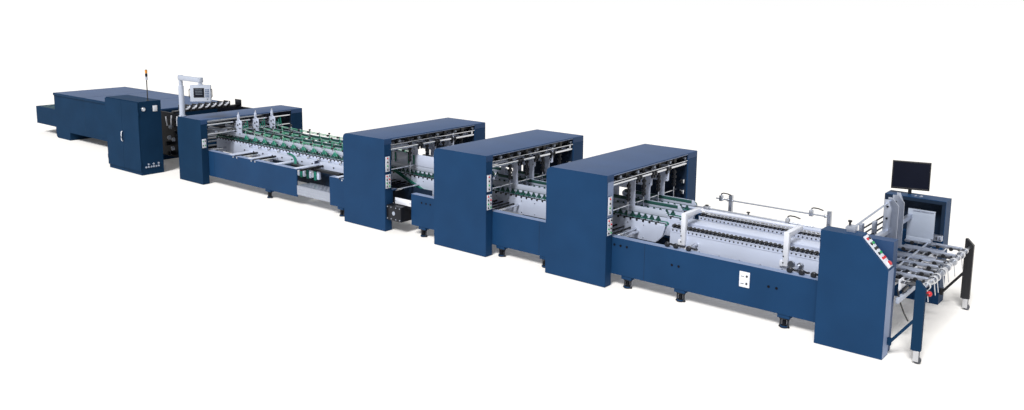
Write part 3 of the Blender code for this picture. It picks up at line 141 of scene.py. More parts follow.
def finish(
    name, code, roughness, patch_mm=500.0, patch=0.08, grain_mm=(3.0, 3.0, 3.0), depth_mm=0.03, **sockets
):
    """Soft patches of tone, and a fine grain in both the relief and the roughness."""
    made = bpy.data.materials.new(name)
    made.use_nodes = True
    tree = made.node_tree
    shader = tree.nodes["Principled BSDF"]
    for socket, value in sockets.items():
        shader.inputs[socket.replace("_", " ")].default_value = value
    patches = add(tree, "ShaderNodeTexNoise", {"Vector": scaled(tree, (patch_mm,) * 3), "Scale": 1.0})
    tones = add(tree, "ShaderNodeValToRGB", {"Fac": patches.outputs["Fac"]})
    base = paint(code)[:3]
    dark, light = tones.color_ramp.elements
    dark.position, light.position = PATCH_DARK_END, PATCH_LIGHT_START
    dark.color = (*(value * (1.0 - patch) for value in base), 1.0)
    light.color = (*(min(1.0, value * (1.0 + patch)) for value in base), 1.0)
    tree.links.new(tones.outputs["Color"], shader.inputs["Base Color"])
    grain = add(tree, "ShaderNodeTexNoise", {"Vector": scaled(tree, grain_mm), "Scale": 1.0, "Detail": 3.0})
    spread = {"To Min": roughness - ROUGHNESS_SPREAD, "To Max": roughness + ROUGHNESS_SPREAD}
    gloss = add(tree, "ShaderNodeMapRange", {"Value": grain.outputs["Fac"], **spread})
    tree.links.new(gloss.outputs["Result"], shader.inputs["Roughness"])
    relief = add(tree, "ShaderNodeBump", {"Height": grain.outputs["Fac"], "Distance": depth_mm / 1000.0})
    tree.links.new(relief.outputs["Normal"], shader.inputs["Normal"])
    return made


print("helpers for finishes are ready")

# %% [markdown]
# The line is folded sheet steel under baked enamel. The enamel levels out as it bakes, which leaves a
# faint orange peel of a few millimetres and a satin gloss. The roofs take a paler slate than the walls:
# painted light on their tops. The press, the cabinet and the exit gantry have a deeper navy. The insides,
# which get no light, take a darker coat of painted shade, and edges that catch the light take a pale
# slate of painted highlight. The intake is powder coated black, which is the flattest of all.

# %% Enamelled sheet
NAVY = finish("baked_navy_enamel", "183B60", 0.50, Specular_IOR_Level=0.10)
DEEP = finish("baked_deep_navy_enamel", "17334F", 0.60, Specular_IOR_Level=0.03)
SLATE_KEYS_AND_TOP_LIGHT = finish("slate_keys_and_painted_top_light", "2A466D", 0.50, Specular_IOR_Level=0.2)
# A pale slate painted on edges and ends that catch the light: a painted highlight.
HIGHLIGHT_SLATE = finish("slate_painted_highlight", "8393B3", 0.50, Specular_IOR_Level=0.30)
# A dark coat that is painted shade inside the line; it also marks the real dark seams between panels.
SHADE_AND_SEAM = finish("painted_shade_and_seam_coat", "16263A", 0.55, Specular_IOR_Level=0.20)
# Black powder coat; on the gantry valances the same black is painted shade.
BLACK_AND_SHADE = finish("black_powder_coat_and_painted_shade", "0B0E16", 0.50, Specular_IOR_Level=0.1)
PALE = finish("pale_lavender_enamel", "C6CEE2", 0.40, patch=0.04)
GREY = finish("light_grey_enamel", "AEB6C6", 0.45, patch=0.04)
WHITE = finish("white_enamel", "E6E9F2", 0.38, patch=0.03)
print("enamels:", [coat.name for coat in (NAVY, DEEP, SLATE_KEYS_AND_TOP_LIGHT, HIGHLIGHT_SLATE, SHADE_AND_SEAM, BLACK_AND_SHADE, PALE, GREY, WHITE)])

# %% [markdown]
# Metal comes in five kinds here: ground shafts with a hard chrome skin, brushed steel bars, brushed
# aluminium sheet, dull zinc-plated sheet, and black-oxided steel on clamps and hex bars. Brushing is a
# grain that is long in one direction: its waves are 60 mm long and 0.9 mm wide, which is coarser than
# real brushing, because real scratches would be too fine to show.

# %% Bare metal
GROUND = {"grain_mm": (40.0, 3.0, 40.0), "depth_mm": 0.01}
BRUSHED_ALONG, BRUSHED_UP = (60.0, 0.9, 0.9), (0.9, 0.9, 60.0)
CHROME = finish("hard_chrome", "D5D7DC", 0.16, patch=0.03, Metallic=1.0, **GROUND)
STEEL = finish("brushed_steel", "B4B8C0", 0.34, patch=0.06, grain_mm=BRUSHED_ALONG, Metallic=1.0)
SHEET = finish("brushed_aluminium_sheet", "A9B0BF", 0.38, patch=0.05, grain_mm=BRUSHED_UP, Metallic=0.85)
ZINC = finish("zinc_plated_sheet", "A4ADBD", 0.45, patch=0.05, Metallic=0.2)
OXIDE = finish("black_oxided_steel", "23252B", 0.38, patch=0.15, Metallic=0.6)
print("metals:", CHROME.name, STEEL.name, SHEET.name, ZINC.name, OXIDE.name)

# %% [markdown]
# The belts are polyamide with a green nitrile face: a matt rubber with a fabric imprint of about 4 mm.
# Wheels, knobs and levers are moulded nylon, which has a slight sheen. The buttons are the same nylon,
# dyed through. The screens are matt glass over a dim film, nearly black with no picture on them.

# %% Belts and plastics
IMPRINT = {"grain_mm": (4.0, 4.0, 4.0), "depth_mm": 0.2}
BELT = finish("green_nitrile_belt", "17705F", 0.62, patch=0.15, **IMPRINT)
DARK_BELT = finish("worn_green_belt", "14453F", 0.66, patch=0.20, **IMPRINT)
NYLON = finish("black_nylon", "15161A", 0.40, patch=0.10)
RUBBER = finish("grey_rubber", "4A4C52", 0.75, patch=0.12, depth_mm=0.1)
RED = finish("red_nylon", "C2202A", 0.35, patch=0.05)
GREEN = finish("green_nylon", "1E9A55", 0.35, patch=0.05)
AMBER = finish("amber_lens", "D98A1E", 0.25, patch=0.05)
GLASS = finish("matt_screen_glass", "0E1220", 0.45, patch=0.10, depth_mm=0.0, Specular_IOR_Level=0.1)
SCREEN = finish("dim_screen_film", "5B6470", 0.30, patch=0.12, patch_mm=60.0)
print("plastics:", BELT.name, DARK_BELT.name, NYLON.name, RUBBER.name, RED.name, GREEN.name, AMBER.name)

# %% [markdown]
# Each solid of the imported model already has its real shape. Its material slot takes the finish, which
# changes nothing in its mesh.

# %% Finishes on the solids
NODE_FINISHES = {
    "housing": NAVY,
    # roof, press_cover and inner_cover take the paler slate, which is painted light on their tops
    "roof": SLATE_KEYS_AND_TOP_LIGHT,
    "frame": NAVY,
    "press_body": DEEP,
    "press_cover": SLATE_KEYS_AND_TOP_LIGHT,
    "cabinet": DEEP,
    "delivery_table": DEEP,
    "delivery_end_plate": ZINC,
    "inner_cover": SLATE_KEYS_AND_TOP_LIGHT,
    "exit_near": DEEP,
    "exit_far": DEEP,
    "near_feed_leg": DEEP,
    "far_feed_leg": NYLON,
    "pendant": GREY,
    "monitor": NYLON,
    "tread_step": SHEET,
    "feed_table": STEEL,
    "front_gauge": SHEET,
    "gauge_rod": STEEL,
    "carriers": PALE,
    "transfer": PALE,
    "operator_strip": WHITE,
    "caster_fork": CHROME,
    "caster_wheel": RUBBER,
    "intake_roller_stand": BLACK_AND_SHADE,
    "intake_holders": NYLON,
    "signal_tower": NYLON,
    "drive_unit": OXIDE,
}
for node_name, solid in nodes.items():
    for words, coat in NODE_FINISHES.items():
        if words in node_name:
            solid.data.materials.clear()
            solid.data.materials.append(coat)
print("finishes set on", len(nodes), "solids")

# %% [markdown]
# The floor is a plain pale studio floor. A little glow that only the camera sees lifts it to white
# where nothing shades it, and it keeps the soft shadow under the machine. The world fills the shadows
# with weak even light. One wide sun from above the operator's side gives the rest, so that roofs, near
# faces and end faces differ in tone and the space under the line falls dark.

# %% Floor and light
FLOOR_SIZE = 900.0
FLOOR_DROP = 0.0005
WHITE_LIGHT = (1.0, 1.0, 1.0, 1.0)
FLOOR_GLOW = 0.05
WORLD_LIGHT = 0.34
SUN_ENERGY = 3.3
SUN_ANGLE = math.radians(18)
SUN_TURN = (math.radians(42), 0.0, math.radians(16))

form = bmesh.new()
bmesh.ops.create_grid(form, x_segments=1, y_segments=1, size=FLOOR_SIZE / 2)
floor_mesh = bpy.data.meshes.new("studio_floor")
form.to_mesh(floor_mesh)
form.free()
floor = bpy.data.objects.new("studio_floor", floor_mesh)
floor.location.z = -FLOOR_DROP
bpy.context.scene.collection.objects.link(floor)
floor_coat = finish("pale_studio_floor", "FFFBF6", 0.85, patch=0.01, Specular_IOR_Level=0.0)
floor_mesh.materials.append(floor_coat)
tree = floor_coat.node_tree
rays = add(tree, "ShaderNodeLightPath").outputs
glow = add(tree, "ShaderNodeMath", {0: rays["Is Camera Ray"], 1: FLOOR_GLOW}, operation="MULTIPLY")
shader = tree.nodes["Principled BSDF"]
shader.inputs["Emission Color"].default_value = WHITE_LIGHT
tree.links.new(glow.outputs[0], shader.inputs["Emission Strength"])

world = bpy.data.worlds.new("studio_world")
world.use_nodes = True
bpy.context.scene.world = world
tree = world.node_tree
rays = add(tree, "ShaderNodeLightPath").outputs
seen = add(tree, "ShaderNodeMath", {0: rays["Is Camera Ray"], 1: rays["Is Glossy Ray"]}, operation="MAXIMUM")
seen = add(tree, "ShaderNodeMath", {0: seen.outputs[0], 1: rays["Is Transmission Ray"]}, operation="MAXIMUM")
level = add(tree, "ShaderNodeMapRange", {"Value": seen.outputs[0], "To Min": WORLD_LIGHT, "To Max": 1.0})
tree.nodes["Background"].inputs["Color"].default_value = WHITE_LIGHT
tree.links.new(level.outputs["Result"], tree.nodes["Background"].inputs["Strength"])

sun_data = bpy.data.lights.new("wide_sun", "SUN")
sun_data.energy = SUN_ENERGY
sun_data.angle = SUN_ANGLE
sun = bpy.data.objects.new("wide_sun", sun_data)
sun.rotation_euler = SUN_TURN
bpy.context.scene.collection.objects.link(sun)
bpy.context.scene.view_settings.view_transform = "Standard"
print("floor, world and one sun are set")

# %% [markdown]
# The fine pieces are all built from a handful of shapes: boxes with softened edges, round bars, flat
# plates cut to an outline, turned shapes, belts and bent bars. Each helper adds one shape to a bmesh in
# the line's own frame, so that one piece can hold many of them.


# %% Helpers for boxes and round bars
UP, INWARD, OUTWARD, RIGHT = (0, 0, 1), (0, 1, 0), (0, -1, 0), (1, 0, 0)


def forms(count):
    """As many empty forms as a cell needs, one for each piece."""
    return [bmesh.new() for number in range(count)]


def soft_edges(form, edges, width):
    """Rounds the given edges with two small facets."""
    bmesh.ops.bevel(form, geom=list(edges), offset=width, affect="EDGES", segments=2, profile=0.5, material=-1)


def block(form, low, high, edge=0.0):
    """A box between two corners; edge rounds its edges."""
    low, high = Vector(low), Vector(high)
    made = bmesh.ops.create_cube(form, size=1.0)["verts"]
    bmesh.ops.scale(form, verts=made, vec=high - low)
    bmesh.ops.translate(form, verts=made, vec=(low + high) / 2)
    if edge:
        soft_edges(form, {side for vert in made for side in vert.link_edges}, edge)


def rod(form, start, end, radius, sides=16, rim=0.0):
    """A round bar between two points; rim chamfers its ends."""
    start, end = Vector(start), Vector(end)
    along = end - start
    place = Matrix.Translation((start + end) / 2) @ along.to_track_quat("Z", "Y").to_matrix().to_4x4()
    sizes = {"radius1": radius, "radius2": radius, "depth": along.length}
    made = bmesh.ops.create_cone(form, cap_ends=True, segments=sides, matrix=place, **sizes)["verts"]
    if rim:
        links = {link for vert in made for link in vert.link_edges}
        soft_edges(form, [link for link in links if any(len(face.verts) > 4 for face in link.link_faces)], rim)


def across(form, x, z, low_y, high_y, radius, sides=16, rim=0.0):
    """A round bar that lies across the line."""
    rod(form, (x, low_y, z), (x, high_y, z), radius, sides, rim)


print("boxes and round bars are ready")


# %% Helpers for plates, turned shapes, belts and bent bars
def facing(a, b, depth, side):
    """A point of a flat outline that faces X, Y or Z."""
    return Vector({"X": (depth, a, b), "Y": (a, depth, b), "Z": (a, b, depth)}[side])


def plate(form, outline, low, high, side="Y", edge=0.0):
    """A flat plate cut to an outline, from depth low to depth high."""
    corners = [form.verts.new(facing(a, b, low, side)) for a, b in outline]
    grown = bmesh.ops.extrude_face_region(form, geom=[form.faces.new(corners)])["geom"]
    moved = [item for item in grown if isinstance(item, bmesh.types.BMVert)]
    bmesh.ops.translate(form, verts=moved, vec=facing(0.0, 0.0, high - low, side))
    if edge:
        soft_edges(form, {link for vert in corners + moved for link in vert.link_edges}, edge)


def turned(form, foot, direction, profile, sides=16):
    """A turned shape; profile holds heights along direction and radii."""
    spun = bmesh.new()
    ring = [spun.verts.new((radius, 0.0, height)) for height, radius in profile]
    links = [spun.edges.new(pair) for pair in zip(ring, ring[1:])]
    bmesh.ops.spin(spun, geom=ring + links, axis=(0, 0, 1), angle=math.tau, steps=sides, use_merge=True)
    bmesh.ops.remove_doubles(spun, verts=spun.verts, dist=1e-6)
    spun.transform(Matrix.Translation(foot) @ Vector(direction).to_track_quat("Z", "Y").to_matrix().to_4x4())
    carried = bpy.data.meshes.new("turned")
    spun.to_mesh(carried)
    spun.free()
    form.from_mesh(carried)
    bpy.data.meshes.remove(carried)


def stepped(*steps):
    """The profile of a stack of discs; each step is the height of its top and its radius."""
    profile = [(0, 0)]
    for top, radius in steps:
        profile += [(profile[-1][0], radius), (top, radius)]
    return profile + [(profile[-1][0], 0)]


def domed(radius, height, top_radius, top):
    """The profile of a disc that narrows towards its top."""
    return [(0, 0), (0, radius), (height, radius), (top, top_radius), (top, 0)]


def belt(form, outline, low_y, high_y, thickness):
    """A belt loop that runs along an outline of X and Z points."""
    start = [form.verts.new((x, low_y, z)) for x, z in outline]
    links = [form.edges.new(pair) for pair in zip(start, start[1:] + start[:1])]
    grown = bmesh.ops.extrude_edge_only(form, edges=links)["geom"]
    moved = [item for item in grown if isinstance(item, bmesh.types.BMVert)]
    bmesh.ops.translate(form, verts=moved, vec=(0.0, high_y - low_y, 0.0))
    faces = [item for item in grown if isinstance(item, bmesh.types.BMFace)]
    bmesh.ops.recalc_face_normals(form, faces=faces)
    bmesh.ops.solidify(form, geom=faces, thickness=thickness)


def bent(form, points, radius, sides=10):
    """A round bar bent through a row of points."""
    points = [Vector(point) for point in points]
    pairs = zip(points[:1] + points, points[1:] + points[-1:])
    ways = [(after - before).normalized() for before, after in pairs]
    ways[0] = (points[1] - points[0]).normalized()
    middles = [(before + after).normalized() for before, after in zip(ways, ways[1:])] + [ways[-1]]
    middles[0] = ways[0]
    frames = [
        Matrix.Translation(point) @ way.to_track_quat("Z", "Y").to_matrix().to_4x4()
        for point, way in zip(points, middles)
    ]
    first = {"radius": radius, "matrix": frames[0]}
    ring = bmesh.ops.create_circle(form, cap_ends=True, segments=sides, **first)["verts"]
    links = {side for vert in ring for side in vert.link_edges}
    for before, after in zip(frames, frames[1:]):
        grown = bmesh.ops.extrude_edge_only(form, edges=list(links))["geom"]
        ring = [item for item in grown if isinstance(item, bmesh.types.BMVert)]
        links = {item for item in grown if isinstance(item, bmesh.types.BMEdge)}
        links = {side for side in links if all(vert in ring for vert in side.verts)}
        bmesh.ops.transform(form, matrix=after @ before.inverted(), verts=ring)
    bmesh.ops.contextual_create(form, geom=list(links))


def corner(centre_a, centre_b, radius, start_degrees, steps=4):
    """Points of a quarter circle, for a rounded corner of an outline."""
    angles = [math.radians(start_degrees + 90.0 * step / steps) for step in range(steps + 1)]
    return [(centre_a + radius * math.cos(angle), centre_b + radius * math.sin(angle)) for angle in angles]


def rounded(left, low, right, high, radius, steps=4):
    """An outline with four rounded corners."""
    outline = corner(right - radius, low + radius, radius, -90.0, steps)
    outline += corner(right - radius, high - radius, radius, 0.0, steps)
    outline += corner(left + radius, high - radius, radius, 90.0, steps)
    return outline + corner(left + radius, low + radius, radius, 180.0, steps)


def publish(name, form, coat, body="line", smooth=35.0):
    """Turns a bmesh in the line's own frame into a finished piece that rides on a body."""
    bmesh.ops.recalc_face_normals(form, faces=form.faces)
    bmesh.ops.translate(form, verts=form.verts, vec=ORIGIN)
    mesh = bpy.data.meshes.new(name)
    form.to_mesh(mesh)
    form.free()
    mesh.shade_smooth()
    mesh.set_sharp_from_angle(angle=math.radians(smooth))
    mesh.materials.append(coat)
    piece = bpy.data.objects.new(name, mesh)
    bpy.context.scene.collection.objects.link(piece)
    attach(piece, body)
    print(name, "has", sum(len(face.vertices) - 2 for face in mesh.polygons), "triangles")
    return piece


print("plates, turned shapes, belts and bent bars are ready")

# %% [markdown]
# The four gantries share one make: a thick near leg, a thicker far leg and a roof. Their boxes come
# from the frame, and everything that hangs inside them is placed from those boxes.

# %% The four gantries
CARRIER_ROWS = (0.82, 1.22, 1.62)
OPEN_GANTRIES = ("gluing", "lock", "prefold")
GANTRIES = {}
for name in ("exit",) + OPEN_GANTRIES:
    low, high = reach(f"{name}_far_housing")
    roof_low, roof_high = reach(f"{name}_roof")
    GANTRIES[name] = (low.x, high.x, roof_low.z, roof_high.z)
NEAR_FACE = reach("exit_near_housing")[1].y
FAR_FACE = reach("exit_far_housing")[0].y
FRAME_TOP = reach("main_near_frame")[1].z
print("gantry lengths:", [round(values[1] - values[0], 3) for values in GANTRIES.values()])

# %% [markdown]
# Inside, each gantry has a dark liner: sheet on the far wall, under the roof and behind the near leg,
# whose dark coat is painted shade. A pale angle strip runs along the roof's open edges as a painted
# highlight, a thin light line.

# %% Gantry liners of painted shade
LINER = 0.003
LINER_INSET = 0.012
LINER_GAP = 0.0005
ROOF_SHEET = 0.014
ROLL_INSET = 0.09
ANGLE_HALF = 0.006
for name, (left, right, under, top) in GANTRIES.items():
    form = bmesh.new()
    start, end, ceiling = left + LINER_INSET, right - LINER_INSET, top - ROOF_SHEET - LINER_GAP
    far_wall, near_wall = (FAR_FACE - LINER_GAP, 0.0), (NEAR_FACE + LINER_GAP + LINER, FRAME_TOP + 0.005)
    for y, foot in (far_wall, near_wall):
        outline = [(start, foot), (end, foot), (end, ceiling), (left + ROLL_INSET, ceiling)]
        outline += [(left + ROLL_INSET, under - 0.001), (start, under - 0.001)]
        plate(form, outline, y - LINER, y)
    block(form, (left + ROLL_INSET, NEAR_FACE + 0.005, ceiling - LINER), (end, FAR_FACE - 0.005, ceiling))
    publish(f"{name}_painted_shade_liner", form, SHADE_AND_SEAM)
    # The pale angle strips are a painted highlight along the roof's open edges.
    form = bmesh.new()
    for x, z in ((left + ANGLE_HALF, under), (right - ANGLE_HALF, top - ROOF_SHEET)):
        low, high = (x - ANGLE_HALF, NEAR_FACE + 0.01, z - 0.012), (x + ANGLE_HALF, FAR_FACE - 0.01, z - 0.001)
        block(form, low, high, 0.002)
    publish(f"{name}_roof_angle_highlight", form, HIGHLIGHT_SLATE)

# %% [markdown]
# The cross shafts under each roof carry the upper carriers. Hanger plates ride on them with split
# clamps, and between the plates stand height screws: a knob on top, a stack of collars and a spring.

# %% Hanger plates, shafts and height screws
PLATE_INSETS_AND_DROPS = ((0.117, 0.235), (0.047, 0.26), (0.008, 0.25))
PLATE_WIDTH = 0.38
PLATE_HALF = 0.004
SHAFT_INSETS = (0.034, 0.30, 0.72)
SHAFT_DROPS = {"gluing": 0.100, "lock": 0.098, "prefold": 0.064}
SHAFT_RADIUS = 0.021
SCREW_ROWS = (0.62, 1.02, 1.42, 1.86)
SCREW_STEPS = [(0.02, 0.012), (0.05, 0.030), (0.075, 0.018), (0.10, 0.028), (0.13, 0.017)]
SCREW_STEPS += [(0.165, 0.034), (0.20, 0.020), (0.235, 0.030), (0.30, 0.014), (0.335, 0.038)]
SCREW_PROFILE = stepped(*SCREW_STEPS)[:-1] + [(0.345, 0.030), (0.345, 0.0)]


def hanger_parts(name, left, right, under):
    """What hangs in one gantry: its plates, shafts, clamps and screws."""
    plates, chrome, dark = forms(3)
    for row, (inset, drop) in zip(CARRIER_ROWS, PLATE_INSETS_AND_DROPS):
        for end in (right - inset, left + PLATE_WIDTH + 0.12):
            start, high, low = end - PLATE_WIDTH, under - 0.006, under - drop
            outline = [(start, low + 0.05), (start + 0.06, low), (end - 0.02, low)]
            outline += [(end, low + 0.02), (end, high), (start, high)]
            plate(plates, outline, row - PLATE_HALF, row + PLATE_HALF, edge=0.0015)
            for x in (end - 0.04, start + 0.05):
                for z in (low + 0.04, high - 0.04):
                    across(dark, x, z, row - PLATE_HALF - 0.006, row + 0.01, 0.008, 6)
    for inset in SHAFT_INSETS:
        x, z = right - inset, under - SHAFT_DROPS[name]
        across(chrome, x, z, NEAR_FACE, FAR_FACE, SHAFT_RADIUS)
        for row in CARRIER_ROWS:
            for y in (row - 0.045, row + 0.02):
                across(dark, x, z, y, y + 0.035, 0.038, 12, 0.003)
                block(dark, (x - 0.012, y + 0.004, z - 0.075), (x + 0.012, y + 0.031, z - 0.03), 0.003)
    for x in (right - 0.012, left + 0.03):
        across(chrome, x, under - 0.022, NEAR_FACE, FAR_FACE, 0.007, 10)
    across(chrome, right - 0.13, 0.958, NEAR_FACE, FAR_FACE, 0.011, 12)
    for row in SCREW_ROWS:
        for x in (right - 0.06, left + 0.2):
            turned(dark, (x, row, under - 0.37), UP, SCREW_PROFILE, 14)
            rod(chrome, (x, row, 0.86), (x, row, under - 0.36), 0.008, 10)
    for z in (under - 0.06, 1.08, 0.92):
        x = right - 0.06
        block(chrome, (x - 0.03, FAR_FACE - 0.06, z - 0.03), (x + 0.03, FAR_FACE - 0.005, z + 0.03), 0.006)
        across(dark, x, z, FAR_FACE - 0.09, FAR_FACE - 0.05, 0.024, 12, 0.003)
    publish(f"{name}_hanger_plates", plates, PALE)
    publish(f"{name}_cross_shafts", chrome, CHROME)
    publish(f"{name}_clamps_and_screws", dark, OXIDE)


for name in OPEN_GANTRIES:
    hanger_parts(name, *GANTRIES[name][:3])

# %% [markdown]
# The lower carriers are pairs of enamelled plates with a green belt round their top edge. Small idlers
# under the belt hold it flat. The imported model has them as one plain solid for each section, so these
# pieces replace that solid, and take their ends from its box.

# %% Lower carriers
BELT_LOW, BELT_TOP = 0.747, 0.80
BELT_HALF = 0.0225
SIDE_SHEET = 0.006
IDLER_PITCH = 0.10
BOLT_PITCH = 0.25
LOWER_SHAFT_START, LOWER_SHAFT_Z = 0.172, 0.60


def lower_carrier(name):
    """The lower carriers of one section; returns where they start and end."""
    low, high = reach(f"{name}_lower_carriers")
    start, end = low.x, high.x
    plates, belts, idlers, shafts = forms(4)
    for row in CARRIER_ROWS:
        outline = [(start + 0.05, 0.50), (end - 0.17, 0.50), (end - 0.07, 0.60), (end - 0.03, 0.735)]
        outline += [(end - 0.04, 0.77), (start + 0.04, 0.77), (start + 0.03, 0.735), (start + 0.02, 0.56)]
        for y in (row - BELT_HALF - SIDE_SHEET, row + BELT_HALF):
            plate(plates, outline, y, y + SIDE_SHEET, edge=0.001)
        loop = rounded(start, BELT_LOW, end, BELT_TOP, 0.026)
        belt(belts, loop, row - BELT_HALF + 0.001, row + BELT_HALF - 0.001, 0.005)
        for index in range(int((end - start - 0.1) / IDLER_PITCH)):
            x, half = start + 0.06 + IDLER_PITCH * index, BELT_HALF + 0.010
            across(idlers, x, 0.762, row - half, row + half, 0.017, 10)
        for index in range(int((end - start) / BOLT_PITCH)):
            x, half = start + 0.12 + BOLT_PITCH * index, BELT_HALF + 0.012
            for z in (0.705, 0.53):
                across(shafts, x, z, row - half, row + half, 0.008, 6)
    for x in (start + 0.35, end - 0.45):
        across(shafts, x, LOWER_SHAFT_Z, LOWER_SHAFT_START, high.y, 0.02)
    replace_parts(publish(f"{name}_carrier_plates", plates, PALE), f"{name}_lower_carriers")
    publish(f"{name}_carrier_belts", belts, BELT)
    publish(f"{name}_belt_idlers", idlers, NYLON)
    publish(f"{name}_lower_shafts", shafts, CHROME)
    return start, end


SECTION_ENDS = {name: lower_carrier(name) for name in ("folding",) + OPEN_GANTRIES}

# %% [markdown]
# The upper carriers press the blank down on the lower belts. Each is a slim plate with a belt of its
# own and a round nose, and below it sits a row of sprung wheels on small triangular arms.

# %% Upper carriers
UPPER_TOP = 0.945


def upper_carrier(name, start, end):
    """The upper carriers of one section, with their belts, wheels and arms."""
    plates, belts, wheels, arms = forms(4)
    for row in CARRIER_ROWS:
        outline = [(start + 0.03, 0.87), (end - 0.02, 0.87), (end - 0.01, 0.90), (end - 0.06, UPPER_TOP)]
        outline += [(start + 0.05, UPPER_TOP), (start + 0.02, 0.91)]
        for y in (row - 0.018, row + 0.012):
            plate(plates, outline, y, y + SIDE_SHEET, edge=0.001)
        belt(belts, rounded(start + 0.01, 0.862, end, 0.925, 0.03), row - 0.011, row + 0.011, 0.004)
        if row != CARRIER_ROWS[0]:
            low = (start + 0.06, row - 0.022, UPPER_TOP - 0.042)
            block(belts, low, (end - 0.075, row - 0.018, UPPER_TOP + 0.002), 0.001)
        for index in range(int((end - start - 0.1) / IDLER_PITCH)):
            x = start + 0.09 + IDLER_PITCH * index
            arm = [(x - 0.042, 0.806), (x + 0.042, 0.806), (x + 0.008, 0.868), (x - 0.008, 0.868)]
            plate(arms, arm, row - 0.026, row - 0.021)
            across(wheels, x, 0.823, row - 0.018, row + 0.016, 0.019, 12, 0.002)
            across(wheels, x, 0.846, row - 0.030, row - 0.026, 0.007, 6)
    publish(f"{name}_upper_plates", plates, GREY)
    publish(f"{name}_upper_belts", belts, DARK_BELT)
    publish(f"{name}_pressing_wheels", wheels, NYLON)
    publish(f"{name}_wheel_arms", arms, DARK_BELT)


for name, (start, end) in SECTION_ENDS.items():
    upper_carrier(name, start, end)

# %% [markdown]
# Hex bars and one bright shaft reach from the near side frame to the first carrier. They set how far
# apart the carriers stand, and they are what shows just above the frame.

# %% Setting bars above the near frame
BAR_HEIGHT = 0.635
BAR_START, BAR_END = NEAR_FACE + 0.10, 0.79
hexes, bright = forms(2)
for name in OPEN_GANTRIES:
    right = GANTRIES[name][1]
    for offset in (-0.60, -0.46, -0.34, -0.22, -0.12):
        across(hexes, right + offset, BAR_HEIGHT, BAR_START, BAR_END, 0.014, 6)
    across(bright, right - 0.03, BAR_HEIGHT, BAR_START, BAR_END, 0.016, 16, 0.002)
publish("hex_setting_bars", hexes, OXIDE)
publish("bright_setting_bars", bright, CHROME)

# %% [markdown]
# Between the last gantry and the feeder the blanks roll over the transfer carriers. Each is a long
# pale side plate with a row of close black rollers on top and a second row of smaller ones below it.
# A flat pale support lies behind each row. Roller, plate and support are separate pieces on the real
# machine; here the rollers are a piece of their own, while plates and supports share one.

# %% Transfer carriers
ROLLER_PITCH = 0.058
ROLLER_RADIUS = 0.023
ROLLER_TOP = 0.80
PLATE_BOLT_PITCH = 0.28
TRANSFER_ROWS = ((0.775, 0.835), (1.575, 1.635))
SUPPORTS = ((0.975, 1.225), (1.76, 1.90))

plates, rollers, bolts, shafts = forms(4)
start, end = (point.x for point in reach("transfer_roller_carriers"))
for low_y, high_y in TRANSFER_ROWS:
    outer = low_y - SIDE_SHEET
    big = [(start + 0.02, 0.47), (end - 0.02, 0.47), (end, 0.49), (end, 0.69), (start, 0.69), (start, 0.49)]
    plate(plates, big, outer, low_y, edge=0.001)
    for z, height in ((0.748, 0.010), (0.70, 0.012)):
        block(plates, (start, outer - 0.004, z - height / 2), (end, outer, z + height / 2), 0.001)
    block(plates, (start, high_y, 0.62), (end, high_y + SIDE_SHEET, 0.79), 0.001)
    block(plates, (start + 0.004, outer + 0.001, 0.692), (end - 0.004, low_y, 0.752))
    for index in range(int((end - start - ROLLER_PITCH) / ROLLER_PITCH)):
        x, z = start + ROLLER_PITCH * (index + 0.7), ROLLER_TOP - ROLLER_RADIUS
        across(rollers, x, z, low_y + 0.001, high_y - 0.001, ROLLER_RADIUS, 14, 0.002)
        across(rollers, x, 0.724, outer - 0.003, low_y, 0.0105, 8)
        across(bolts, x, z, outer - 0.006, high_y + 0.010, 0.006, 6)
    for index in range(int((end - start) / PLATE_BOLT_PITCH)):
        across(bolts, start + 0.16 + PLATE_BOLT_PITCH * index, 0.50, outer - 0.006, outer + 0.002, 0.010, 6)
for low_y, high_y in SUPPORTS:
    block(plates, (start, low_y, 0.772), (end, high_y, 0.795), 0.002)
    block(plates, (start, low_y, 0.70), (end, low_y + 0.004, 0.772))
    for x in (start + 0.3, (start + end) / 2, end - 0.4):
        block(plates, (x - 0.02, low_y + 0.01, 0.62), (x + 0.02, high_y - 0.01, 0.773), 0.003)
for x in (start + 0.40, end - 0.83):
    across(shafts, x, LOWER_SHAFT_Z, LOWER_SHAFT_START, FAR_FACE - 0.022, 0.02, 16, 0.002)
for x, z in ((start, 0.86), (start + 0.2, 0.84)):
    rod(shafts, (x, 1.42, z), (x + 2.5, 1.42, z), 0.006, 8)
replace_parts(publish("transfer_side_plates", plates, PALE), "transfer_roller_carriers")
publish("transfer_rollers", rollers, NYLON)
publish("transfer_roller_pins", bolts, STEEL)
publish("transfer_shafts", shafts, CHROME)

# %% [markdown]
# Two arms stand on the near plate and reach over the first rollers. Their ends carry a long rod with
# clamps and lever handles. On the far side a second rod stands on two posts in the same way.

# %% Rods, posts and lever handles
LEVER_LENGTH = 0.16
KNURLED_SCREW = [(0, 0), (0, 0.010), (0.02, 0.010), (0.022, 0.024), (0.034, 0.024), (0.038, 0)]


def lever(chrome, dark, x, y, z):
    """A clamp round a rod with a tapered lever that points along X."""
    block(chrome, (x - 0.025, y - 0.025, z - 0.03), (x + 0.025, y + 0.025, z + 0.05), 0.005)
    rod(chrome, (x, y, z + 0.05), (x, y, z + 0.075), 0.010, 10)
    path = [(x, y, z + 0.075), (x + 0.03, y, z + 0.088), (x + 0.09, y, z + 0.088)]
    bent(dark, path + [(x + LEVER_LENGTH, y, z + 0.072)], 0.0085)


def grooved(radius):
    """The profile of a narrow wheel with a groove for a cord."""
    floor_radius = radius - 0.008
    rim = [(0, 0), (0, radius), (0.006, radius), (0.008, floor_radius)]
    return rim + [(0.03, floor_radius), (0.032, radius), (0.038, radius), (0.038, 0)]


